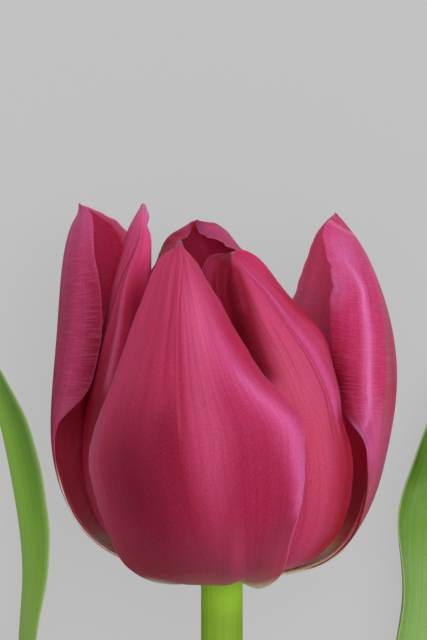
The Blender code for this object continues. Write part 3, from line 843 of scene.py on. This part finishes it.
right_outer = [
    (0.08, (0.42, 0.30, 0.16)), (0.13, (0.36, 0.05, 0.08)), (0.2, (0.45, 0.036, 0.11)),
    (0.45, (0.50, 0.042, 0.13)), (0.7, (0.56, 0.068, 0.175)), (0.93, (0.56, 0.055, 0.16)),
    (0.992, (0.54, 0.04, 0.13)), (0.997, (0.74, 0.22, 0.34)), (1.0, (0.74, 0.22, 0.34)),
]
right_washes = [
    ((0.57, 0.072, 0.14), 0.9, (-0.25, 0.5), (0.35, 0.3)),
    ((0.50, 0.015, 0.055), 0.9, (0.75, 0.72), (0.5, 0.32)),
    ((0.62, 0.075, 0.19), 0.6, (-0.15, 0.8), (0.2, 0.16)),
    ((0.58, 0.095, 0.19), 0.6, (-0.25, 0.63), (0.3, 0.14)),
]
right_lines = [
    # painted shadow: a dark band along the fold where the front petal's margin shades this petal, and a
    # darker one in the valley behind (this line and the next)
    ((0.22, 0.002, 0.008), 0.9, 0.48, 1.0, beside(FOLD, 0.07)),
    ((0.10, 0.0, 0.002), 1.0, 0.34, 1.0, [
        (0.58, -0.62), (0.66, -0.58), (0.73, -0.57), (0.79, -0.55), (0.84, -0.53),
    ]),
    # painted highlight on the ridge beside the crease, and painted shade in the two fine creases (this line
    # and the next two)
    ((0.60, 0.09, 0.27), 0.8, 0.2, 1.0, beside(CREASE[1:], 0.11)),
    ((0.32, 0.010, 0.035), 0.65, 0.035, 1.0, CREASE[1:]),
    ((0.32, 0.010, 0.035), 0.5, 0.03, 1.0, beside(CREASE[1:], 0.05)),
    ((0.34, 0.015, 0.045), 0.4, 0.04, 0.8, [(0.6, -0.2), (0.82, -0.18)]),
    ((0.34, 0.002, 0.017), 1.0, 0.75, 1.0, [(0.16, 0.12), (0.36, 0.12), (0.45, 0.16), (0.58, 0.3)]),
    ((0.28, 0.020, 0.062), 1.0, 1.0, 0.4, [(0.76, -1.0), (0.9, -0.95), (1.03, -0.9)]),
    # painted shade: the valley behind the fold darkened
    ((0.19, 0.004, 0.012), 1.0, 0.5, 0.5, [*beside(FOLD, -0.2), (1.02, -0.6)]),
    ((0.15, 0.005, 0.016), 0.9, 1.1, 0.5, [(0.92, -0.85), (1.03, -0.85)]),
    ((0.16, 0.004, 0.015), 0.8, 0.06, 1.0, [(0.7, -0.7), (0.86, -0.6), (0.95, -0.6)]),
    ((0.30, 0.02, 0.05), 0.6, 0.05, 1.0, [(0.78, -0.66), (0.9, -0.68), (0.96, -0.7)]),
]
petal("inner_petal_right", INNER_PETALS, inner_right_relief, petal_reach, seed=1.3, outer=right_outer,
      inner=INNER_FACE, washes=right_washes, lines=right_lines)

# the left petal's crease (painted shade) and the ridge beside it (painted highlight), as (along, across)
LEFT_CREASE = [(0.66, -0.26), (0.74, -0.2), (0.827, -0.12), (0.858, -0.05), (0.918, 0.14), (0.955, 0.14)]
LEFT_RIDGE = [
    (0.55, 0.1), (0.64, 0.14), (0.724, 0.17), (0.813, 0.13), (0.858, 0.16), (0.908, 0.25), (0.96, 0.24),
]


def inner_left_relief(s, t):
    """A crease and a ridge that gather at the tip, a hollow beside them, and a small lobe over a notch."""
    return (
        pleats(s, t, 2.1)
        + 0.25 * swell(s, t, (0.75, 0.978), (0.3, 0.012))
        - 0.4 * swell(s, t, (0.75, 0.956), (0.3, 0.012))
        + 0.22 * pleat(s, t, LEFT_RIDGE, 0.08)
        - 0.22 * pleat(s, t, LEFT_CREASE, 0.05)
        - 0.35 * pleat(s, t, [(0.55, 0.45), (0.7, 0.46), (0.85, 0.48), (0.92, 0.45)], 0.12)
    )


# the tip stops are the petal's own bright pink, made lighter still as painted light to offset shade
left_outer = [
    (0.07, (0.34, 0.16, 0.10)), (0.14, (0.30, 0.03, 0.06)), (0.5, (0.26, 0.005, 0.026)),
    (0.75, (0.345, 0.016, 0.06)), (0.88, (0.57, 0.046, 0.155)), (0.95, (0.70, 0.10, 0.28)),
    (1.0, (0.76, 0.20, 0.40)),
]
left_washes = [
    # painted light: the left part near the tip lightened where it turns from the lamp
    ((0.80, 0.10, 0.25), 1.0, (-0.45, 0.82), (0.6, 0.2)),
    ((0.17, 0.001, 0.006), 0.95, (-0.1, 0.52), (0.5, 0.14)),
    # painted shade: darker on the right beside the front petal's margin
    ((0.22, 0.004, 0.014), 0.95, (0.5, 0.76), (0.4, 0.13)),
    ((0.62, 0.075, 0.21), 0.8, (0.45, 0.91), (0.3, 0.06)),
    ((0.38, 0.045, 0.11), 0.8, (-0.35, 0.72), (0.45, 0.1)),
    ((0.19, 0.003, 0.014), 0.8, (-0.2, 0.61), (0.4, 0.08)),
]
left_lines = [
    # painted highlight on the ridge, and painted shade in the crease
    ((0.46, 0.085, 0.19), 0.7, 0.24, 1.0, LEFT_RIDGE),
    ((0.28, 0.008, 0.034), 0.7, 0.15, 1.0, LEFT_CREASE),
]
petal("inner_petal_left", INNER_PETALS, inner_left_relief, petal_reach, seed=4.9, outer=left_outer,
      inner=INNER_FACE, washes=left_washes, lines=left_lines)


def inner_back_relief(s, t):
    """A hood: both shoulders of the tip stand out round the mouth of the bloom."""
    return (
        pleats(s, t, 3.7)
        + 1.8 * swell(s, t, (-0.6, 0.935), (0.3, 0.05))
        + 1.0 * swell(s, t, (0.62, 0.93), (0.3, 0.05))
        + 0.6 * swell(s, t, (-0.5, 0.968), (0.35, 0.022))
    )


def inner_back_reach(side, t):
    """Ragged, finely waved margins towards the tip."""
    ragged = 0.03 * np.sin(t * 150 + side) + 0.02 * np.sin(t * 263 + 2 * side)
    return 1 + ragged * np.clip((t - 0.86) / 0.04, 0, 1) * np.clip((0.99 - t) / 0.02, 0, 1)


back_outer = [
    (0.07, (0.34, 0.16, 0.10)), (0.16, (0.36, 0.03, 0.08)), (0.6, (0.42, 0.04, 0.10)),
    (0.86, (0.38, 0.06, 0.12)), (0.97, (0.38, 0.06, 0.12)), (1.0, (0.26, 0.02, 0.05)),
]
back_washes = [
    # painted light: the shoulder at s < 0 made lighter, as it faces the lamp, the one at s > 0 darker in
    # painted shade, and a painted highlight on the rim near the tip
    ((0.44, 0.062, 0.175), 0.95, (-0.7, 0.94), (0.7, 0.12)),
    ((0.34, 0.016, 0.055), 0.95, (0.75, 0.93), (0.7, 0.12)),
    ((0.46, 0.060, 0.19), 0.8, (0.6, 0.985), (0.5, 0.03)),
]
back_inner = [
    *INNER_FACE[:2], (0.6, (0.6, 0.04, 0.11)), (0.9, (0.60, 0.055, 0.17)), (1.0, (0.60, 0.08, 0.2)),
]
back_inner_lines = [
    ((0.36, 0.010, 0.035), 0.7, 1.2, 0.6, [(0.8, 0.5), (1.0, 0.5)]),
    ((0.60, 0.08, 0.20), 0.5, 0.14, 1.0, [(0.82, -0.08), (0.95, -0.08)]),
]
petal("inner_petal_back", INNER_PETALS, inner_back_relief, inner_back_reach, seed=7.2, outer=back_outer,
      inner=back_inner, washes=back_washes, inner_lines=back_inner_lines)

# ----------------------------------------------------------------------------------------------------------
# The three outer petals: broader and paler than the inner ones, satin rose outside with a lilac sheen, much
# of it painted highlight, and crimson inside. The front one wraps the bud; the two side ones stand open and
# roll their near margins in.
# ----------------------------------------------------------------------------------------------------------
OUTER_PETALS = {
    "outer_petal_front": {
        "left": [
            (-1.8, -2.4, 2.9), (-6, -7, 1.4), (-11, -10.5, 1.5), (-15.5, -12.5, 4), (-18.3, -13.3, 9),
            (-20.4, -13.6, 15), (-21.6, -14, 21.5), (-20.3, -15, 27.5), (-17.8, -15.4, 34),
            (-14.5, -14.2, 43.5), (-11.7, -11.2, 51), (-10.3, -9.4, 54.0), (-8.9, -8.5, 55.2),
            (-7.75, -8.1, 55.8), (-7.25, -8, 56.8),
        ],
        "midrib": [
            (-0.2, -3, 2.6), (-0.8, -8, 1.3), (-1.3, -14, 1.2), (-2.2, -20, 6.2), (-4, -24, 15),
            (-5.7, -24.8, 26), (-6.4, -22, 36), (-6.8, -16.5, 46), (-7, -11.5, 53), (-7, -8, 57),
        ],
        "right": [
            (1.5, -2.6, 2.9), (4.8, -7.5, 1.4), (8.2, -10.5, 1.6), (10.2, -14.3, 4.6), (11.2, -17.4, 9.2),
            (12.6, -19.1, 15), (13, -19.7, 20), (13.1, -20.3, 25), (12.8, -20.5, 27.8), (11.3, -20.6, 30.4),
            (9, -20.4, 32.6), (6.9, -19.8, 35), (4.4, -18, 39), (1.9, -15.8, 43.4), (-0.9, -13, 48.2),
            (-2.9, -11, 51.2), (-4.3, -9.3, 53.6), (-5.6, -8.4, 55), (-6.3, -8.1, 55.8), (-6.6, -8, 56.8),
        ],
        "facing": [(0, -5), (1, -5)],
    },
    "outer_petal_right": {
        "left": [
            (2.2, -2.1, 2.9), (7, -3.6, 1.8), (12, -3, 2.2), (16, -2.8, 3.2), (19.9, -3.4, 6),
            (21.9, -4.6, 8.6), (23.4, -5.1, 12.6), (24.1, -4.4, 16.6), (24.1, -3.6, 20.2),
            (23.6, -2.8, 23.6), (21.9, -1.5, 26.2), (19.8, -0.8, 29), (18.6, -0.6, 31.5), (18, -0.5, 35.7),
            (18.1, -1.5, 40.6), (17.9, -3.2, 46.5), (18.2, -4.2, 50), (17.6, -4.5, 53), (17, -4.3, 56.5),
            (16.9, -3.6, 59.2), (18.1, -1.4, 60.8), (19, 2.6, 61.8),
        ],
        "midrib": [
            (3, 0.1, 2.6), (9, 0.4, 1.5), (14.4, 0.2, 2.5), (18.6, 0, 4.4), (21.7, -0.4, 8),
            (24.15, -0.9, 13), (26.3, -1.3, 22), (27.6, -1.3, 32), (27.3, -1, 42), (25.35, 0, 51),
            (22.6, 1.5, 57.5), (19.1, 3, 62),
        ],
        "right": [
            (1.8, 2.2, 2.9), (5, 8, 1.8), (6.5, 15, 5), (7, 19.5, 12), (7, 21, 20), (7.5, 20.5, 30),
            (9.5, 18, 40), (12.3, 14.5, 48), (14.2, 12, 53.5), (15.4, 9, 57.2), (17.2, 6, 60.3),
            (19, 3.4, 61.9),
        ],
        "facing": [(0, 88), (0.4, 66), (0.8, 66), (1, 80)],
    },
    "outer_petal_left": {
        "left": [
            (-1.8, 2.2, 2.9), (-5, 8, 1.8), (-6.5, 15, 5), (-7, 20, 12), (-7, 21.6, 20), (-7.6, 21.1, 30),
            (-9.2, 18.3, 40), (-11.5, 15.5, 48), (-13.6, 13, 54), (-16.4, 9.5, 59.2), (-18.3, 7, 61),
            (-21.5, 3, 62.6), (-23.7, 0.4, 63.3),
        ],
        "midrib": [
            (-3, 0.1, 2.6), (-9, 0.4, 2), (-16.6, 0.3, 4.2), (-21.9, 0, 7.7), (-26.1, 0, 14),
            (-28.3, 0.4, 22), (-28.4, 1, 32), (-27.6, 1, 42), (-27, 0.6, 50), (-26, 0.2, 57),
            (-24.8, 0, 60.4), (-24, 0, 62), (-23.9, 0, 63.4),
        ],
        "right": [
            (-2.2, -2.1, 2.9), (-8, -4, 2.2), (-15, -3.6, 4), (-20.6, -3, 7), (-23.6, -3, 10),
            (-26.2, -2.8, 15), (-27.4, -2.6, 19.4), (-27.8, -2.6, 23.6), (-27.3, -3, 26.5),
            (-25.5, -4.4, 28.7), (-22.6, -5.8, 31.7), (-20.6, -6, 37), (-19.8, -6, 43), (-20.2, -5.6, 50),
            (-21.1, -5, 55), (-21.4, -3.6, 59.6), (-22.4, -1, 62.4), (-23.7, -0.4, 63.3),
        ],
        "facing": [(0, -88), (0.4, -88), (0.8, -85), (1, -85)],
    },
}

# the front petal's fine midrib, as (along, across)
MIDRIB = [(0.5, -0.05), (0.645, -0.06), (0.76, -0.06), (0.835, -0.04), (0.914, 0.06), (0.985, 0.29)]


def outer_front_relief(s, t):
    """A fine raised midrib beside a groove, soft lobes at the base and a rolled right margin."""
    return (
        pleats(s, t, 5.0)
        + 0.04 * pleat(s, t, MIDRIB, 0.02)
        - 0.05 * pleat(s, t, beside(MIDRIB, 0.05), 0.025)
        - 0.08 * pleat(s, t, [(0.55, -0.2), (0.75, -0.2), (0.95, -0.13)], 0.05)
        + 1.0 * swell(s, t, (0.84, 0.118), (0.16, 0.045))
        - 0.6 * swell(s, t, (0.42, 0.13), (0.12, 0.05))
        + 0.3 * swell(s, t, (-0.95, 0.13), (0.2, 0.05))
        + 0.35 * pleat(s, t, [(0.3, 0.93), (0.45, 0.9), (0.55, 0.8), (0.7, 0.62)], 0.1)
    )


def outer_front_reach(side, t):
    """The right margin lies a little further in near the tip."""
    return petal_reach(side, t) - np.where(side > 0, 0.05 * hump(t, 0.8, 0.12), 0)


front_outer = [
    (0.10, (0.50, 0.46, 0.26)), (0.15, (0.30, 0.10, 0.09)), (0.21, (0.24, 0.034, 0.062)),
    (0.35, (0.34, 0.020, 0.067)), (0.6, (0.44, 0.037, 0.108)), (0.85, (0.48, 0.045, 0.132)),
    (0.985, (0.52, 0.05, 0.13)), (0.993, (0.60, 0.09, 0.20)), (1.0, (0.68, 0.15, 0.28)),
]
front_washes = [
    # painted light: this wash lightens the right side, which faces the lamp, and the next is a painted
    # highlight high on it
    ((0.50, 0.044, 0.148), 0.8, (0.45, 0.68), (0.65, 0.42)),
    ((0.66, 0.11, 0.26), 1.0, (0.35, 0.78), (0.5, 0.22)),
    ((0.42, 0.036, 0.100), 0.8, (-0.5, 0.78), (0.6, 0.3)),
    # painted shade: this wash and the next two darken the left side and the strip left of the midrib, away
    # from the lamp
    ((0.168, 0.007, 0.018), 0.95, (-0.5, 0.40), (0.65, 0.34)),
    ((0.24, 0.008, 0.026), 0.8, (-0.13, 0.49), (0.15, 0.2)),
    ((0.19, 0.014, 0.030), 0.8, (-0.68, 0.24), (0.5, 0.13)),
    ((0.355, 0.017, 0.070), 0.8, (0.5, 0.42), (0.45, 0.28)),
    ((0.46, 0.046, 0.13), 0.7, (0.12, 0.50), (0.2, 0.34)),
    # painted sheen: a lilac band along the left margin
    ((0.40, 0.055, 0.14), 0.8, (-1.0, 0.5), (0.25, 0.16)),
    # painted light: a lighter band right of the midrib
    ((0.56, 0.094, 0.205), 0.65, (0.2, 0.6), (0.24, 0.34)),
    ((0.44, 0.014, 0.07), 0.8, (1.0, 0.74), (0.45, 0.18)),
    ((0.40, 0.045, 0.105), 0.8, (0.33, 0.25), (0.16, 0.16)),
    ((0.38, 0.036, 0.085), 0.8, (0.9, 0.22), (0.3, 0.1)),
    ((0.60, 0.56, 0.34), 1.0, (-0.95, 0.14), (0.4, 0.065)),
    ((0.60, 0.60, 0.34), 1.0, (0.85, 0.12), (0.3, 0.055)),
]
front_lines = [
    ((0.19, 0.008, 0.024), 0.4, 0.26, 1.0, [(0.26, -0.36), (0.36, -0.32), (0.5, -0.24), (0.6, -0.2)]),
    # painted shade in the grooves beside the midrib and at -0.2 across (this line and the next)
    ((0.36, 0.012, 0.045), 0.5, 0.08, 1.0, beside(MIDRIB, 0.045)),
    ((0.34, 0.015, 0.05), 0.45, 0.12, 1.0, [(0.6, -0.2), (0.75, -0.2), (0.92, -0.12)]),
    ((0.54, 0.07, 0.16), 0.5, 0.2, 1.0, [(0.76, -0.3), (0.85, -0.3), (0.96, -0.22)]),
    # painted highlight on the raised midrib (this line and the next)
    ((0.60, 0.09, 0.21), 0.3, 0.05, 1.0, MIDRIB),
    ((0.62, 0.10, 0.22), 0.4, 0.045, 1.0, MIDRIB[2:]),
    # painted highlight: a lilac satin sheen along the rolled right margin (this line and the next)
    ((0.60, 0.085, 0.25), 0.85, 0.5, 1.0, [
        (0.30, 1.08), (0.36, 1.04), (0.45, 0.95), (0.52, 0.85), (0.65, 0.68), (0.8, 0.5),
    ]),
    ((0.66, 0.13, 0.34), 0.7, 0.22, 1.0, [
        (0.31, 1.0), (0.36, 0.98), (0.42, 0.95), (0.5, 0.88), (0.6, 0.76), (0.68, 0.66),
    ]),
    ((0.62, 0.12, 0.27), 0.6, 0.05, 1.0, [(0.12, 1.0), (0.42, 0.99)]),
]
petal("outer_petal_front", OUTER_PETALS, outer_front_relief, outer_front_reach, seed=2.6, outer=front_outer,
      inner=INNER_FACE, washes=front_washes, lines=front_lines)


def side_reach(side, t):
    """Waves along a side petal's left margin, and weaker ones along its right one."""
    waves = 0.008 * np.sin(t * SLOW_WAVE + 2 * side) + 0.006 * np.sin(t * FAST_WAVE + side)
    return 1 + np.where(side < 0, waves, waves * 0.4)


def outer_right_relief(s, t):
    """Only the faint pleats."""
    return pleats(s, t, 1.2)


def outer_right_reach(side, t):
    """Two nicks in the near margin."""
    nicks = 0.03 * hump(t, 0.795, 0.008) + 0.05 * hump(t, 0.838, 0.006)
    return side_reach(side, t) - np.where(side < 0, nicks, 0)


# the cream above the foot of both side petals
SIDE_BASE = (0.12, (0.55, 0.55, 0.30))
right_side_outer = [
    SIDE_BASE, (0.2, (0.42, 0.22, 0.14)), (0.3, (0.42, 0.07, 0.11)), (0.45, (0.50, 0.067, 0.195)),
    (0.6, (0.50, 0.038, 0.128)), (0.8, (0.52, 0.044, 0.16)), (0.93, (0.54, 0.062, 0.20)),
    (0.94, (0.66, 0.18, 0.34)), (0.947, (0.46, 0.04, 0.12)), (1.0, (0.54, 0.06, 0.18)),
]
# painted light: the inner face made far lighter than its own colour, up to near white at the pale foot, to
# stand in for light shining through the petal
right_side_inner = [
    (0.13, (1.0, 1.0, 0.7)), (0.2, (1.0, 1.0, 0.75)), (0.23, (0.9, 0.6, 0.45)), (0.255, (0.72, 0.26, 0.25)),
    (0.3, (0.60, 0.12, 0.15)), (0.36, (0.58, 0.075, 0.13)), (0.42, (0.85, 0.055, 0.14)),
    (0.5, (0.9, 0.09, 0.22)), (0.62, (1.0, 0.22, 0.44)), (0.78, (0.95, 0.20, 0.42)),
    (1.0, (0.92, 0.20, 0.42)),
]
# the bend where the right petal's near margin rolls in, painted with a highlight, as (along, across)
RIDGE = [
    (0.47, -1.0), (0.496, -0.67), (0.528, -0.44), (0.571, -0.36), (0.634, -0.37), (0.697, -0.38),
    (0.738, -0.40), (0.78, -0.43), (0.811, -0.46), (0.84, -0.56), (0.88, -0.72),
]
right_side_washes = [
    # painted sheen: a lilac band high on the near half
    ((0.58, 0.14, 0.345), 0.9, (-0.66, 0.87), (0.42, 0.09)),
    # painted shade: the near margin darkened where it rolls away from the light
    ((0.34, 0.010, 0.04), 0.95, (-1.0, 0.6), (0.6, 0.18)),
    # painted highlight: lilac where the bend's highlight meets the near margin
    ((0.60, 0.12, 0.33), 0.9, (-0.75, 0.475), (0.5, 0.08)),
    ((0.56, 0.13, 0.30), 0.8, (-0.95, 0.8), (0.35, 0.08)),
    # painted shade along the near margin
    ((0.20, 0.002, 0.010), 0.95, (-0.9, 0.6), (0.55, 0.08)),
    ((0.56, 0.11, 0.27), 0.7, (-0.3, 0.5), (0.45, 0.1)),
    # painted highlight: bright lilac on the near margin where it turns from the light
    ((0.90, 0.25, 0.52), 0.8, (-0.85, 0.497), (0.3, 0.035)),
]
right_side_inner_lines = [((0.15, 0.025, 0.022), 1.0, 0.4, 0.6, [(0.12, -1.0), (0.5, -1.0)])]
right_side_lines = [
    ((0.38, 0.080, 0.12), 0.75, 0.24, 1.0, [
        (0.4, -0.2), (0.51, -0.07), (0.61, -0.02), (0.7, 0.0), (0.785, 0.1), (0.85, 0.14),
    ]),
    # painted highlight along the rolled-in bend: a broad band and its bright core (this line and the next)
    ((0.64, 0.15, 0.35), 0.85, 0.32, 1.0, RIDGE),
    ((0.76, 0.20, 0.50), 0.6, 0.13, 1.0, RIDGE),
    ((0.36, 0.03, 0.06), 0.5, 0.05, 0.8, [(0.3, 0.06), (0.75, 0.06)]),
    ((0.14, 0.03, 0.028), 1.0, 0.3, 0.4, [(0.2, -1.0), (0.43, -1.0)]),
]
petal("outer_petal_right", OUTER_PETALS, outer_right_relief, outer_right_reach, seed=5.5,
      outer=right_side_outer, inner=right_side_inner, washes=right_side_washes, lines=right_side_lines,
      inner_lines=right_side_inner_lines, cross_lines=0.16)


def outer_left_relief(s, t):
    """One soft fold down the right half."""
    return pleats(s, t, 4.1) + 0.2 * pleat(s, t, [(0.45, 0.6), (0.7, 0.6), (0.98, 0.65)], 0.12)


left_side_outer = [
    SIDE_BASE, (0.2, (0.34, 0.10, 0.10)), (0.45, (0.42, 0.052, 0.12)), (0.6, (0.35, 0.032, 0.10)),
    (0.8, (0.33, 0.028, 0.09)), (0.93, (0.43, 0.06, 0.17)), (1.0, (0.46, 0.08, 0.20)),
]
# painted light: the inner face made far lighter than its own colour, up to near white at the pale foot, to
# stand in for light shining through the petal
left_side_inner = [
    (0.12, (1.0, 0.95, 0.7)), (0.2, (1.0, 0.92, 0.75)), (0.245, (1.0, 0.85, 0.8)),
    (0.262, (1.0, 0.46, 0.5)), (0.285, (1.0, 0.24, 0.32)), (0.32, (1.0, 0.14, 0.22)),
    (0.38, (0.88, 0.08, 0.15)), (0.45, (0.80, 0.06, 0.13)), (0.65, (0.56, 0.03, 0.085)),
    (0.85, (0.46, 0.034, 0.11)), (1.0, (0.46, 0.045, 0.14)),
]
left_side_washes = [
    ((0.18, 0.006, 0.020), 0.95, (1.0, 0.68), (0.38, 0.24)),
    ((0.44, 0.08, 0.21), 0.8, (0.6, 0.95), (0.45, 0.08)),
    ((0.42, 0.07, 0.16), 0.8, (0.7, 0.55), (0.45, 0.05)),
]
left_side_lines = [
    ((0.38, 0.045, 0.125), 0.7, 0.5, 1.0, [(0.5, 0.6), (0.7, 0.6), (0.97, 0.65)]),
    # the pale margin near the foot: partly the petal's own pale edge, partly painted light that offsets the
    # shade on its rim
    ((0.80, 0.60, 0.52), 0.9, 0.14, 0.6, [(0.14, 1.0), (0.43, 1.0)]),
]
left_side_inner_lines = [
    ((0.20, 0.006, 0.02), 1.0, 0.6, 1.0, [(0.14, 1.0), (0.56, 1.0)]),
    # painted shadow on the inner face beside the left inner petal's margin
    ((0.30, 0.0, 0.004), 0.8, 0.16, 1.0, [(0.36, -0.4), (0.42, -0.42), (0.5, -0.46), (0.6, -0.48)]),
    # the pale margin near the foot: partly the petal's own pale edge, partly painted light that offsets the
    # shade on its rim
    ((0.85, 0.62, 0.55), 0.9, 0.08, 0.6, [(0.14, 1.0), (0.42, 1.0)]),
    # painted light: lighter where the inner face lies in shade beside the left inner petal
    ((1.0, 0.09, 0.22), 0.8, 0.3, 1.0, [(0.54, -0.57), (0.6, -0.58), (0.73, -0.63)]),
]
petal("outer_petal_left", OUTER_PETALS, outer_left_relief, side_reach, seed=9.5,
      outer=left_side_outer, inner=left_side_inner, washes=left_side_washes, lines=left_side_lines,
      inner_lines=left_side_inner_lines, cross_lines=0.13)

# ----------------------------------------------------------------------------------------------------------
# The table top that the flower lies on, plain pale matt grey, with soft lamps round it and the camera that
# looks straight down.
# ----------------------------------------------------------------------------------------------------------
TABLE_HALF = 3.0
TABLE_GREY = (0.53, 0.53, 0.53)
# the share of the table's look that stays even, so that the flower's shadow on it is soft and light
EVENNESS = 0.87
ROOM_LIGHT = 0.6
# the camera's place over the bloom, in millimetres, and its lens
CAMERA_HEIGHT = 450.0
CAMERA_SIDE = -1.417
CAMERA_ALONG = 44.0
LENS = 151.875

mesh = bpy.data.meshes.new("table_top")
corners = [(x * TABLE_HALF, y * TABLE_HALF, 0) for x, y in ((-1, -1), (1, -1), (1, 1), (-1, 1))]
mesh.from_pydata(corners, [], [(0, 1, 2, 3)])
table = added("table_top", mesh)
table_paint, bare = bare_material("table paint")
matt = bare.node("ShaderNodeBsdfDiffuse", {}, {"Color": TABLE_GREY})
even = bare.node("ShaderNodeEmission", {}, {"Color": TABLE_GREY, "Strength": 1.0})
seen = bare.node("ShaderNodeLightPath", {}, {}, "Is Camera Ray")
mixed = bare.node("ShaderNodeMixShader", {}, {0: seen * EVENNESS, 1: matt, 2: even})
bare.node("ShaderNodeOutputMaterial", {}, {"Surface": mixed}, None)
mesh.materials.append(table_paint)


def lamp(name, direction, distance, size, watts):
    """A large soft square lamp that looks at the flower from a direction."""
    light = bpy.data.lights.new(name, "AREA")
    light.size = size
    light.energy = watts
    fixture = added(name, light)
    aim = Vector(direction).normalized()
    fixture.location = bloom_origin + aim * distance
    fixture.rotation_euler = aim.to_track_quat("Z", "Y").to_euler()


lamp("window_lamp", direction=(0.32, 0.22, 0.92), distance=1.2, size=0.9, watts=9.0)
lamp("fill_lamp", direction=(-0.6, -0.1, 0.8), distance=1.2, size=1.2, watts=1.0)

world = bpy.data.worlds.new("room")
bpy.context.scene.world = world
world.use_nodes = True
background = world.node_tree.nodes["Background"]
background.inputs["Color"].default_value = (1, 1, 1, 1)
background.inputs["Strength"].default_value = ROOM_LIGHT

camera_data = bpy.data.cameras.new("camera")
camera_data.lens = LENS
camera = added("camera", camera_data)
camera.location = bloom_origin + Vector((CAMERA_SIDE, CAMERA_ALONG, CAMERA_HEIGHT)) * MM
bpy.context.scene.camera = camera
bpy.context.scene.view_settings.view_transform = "Standard"
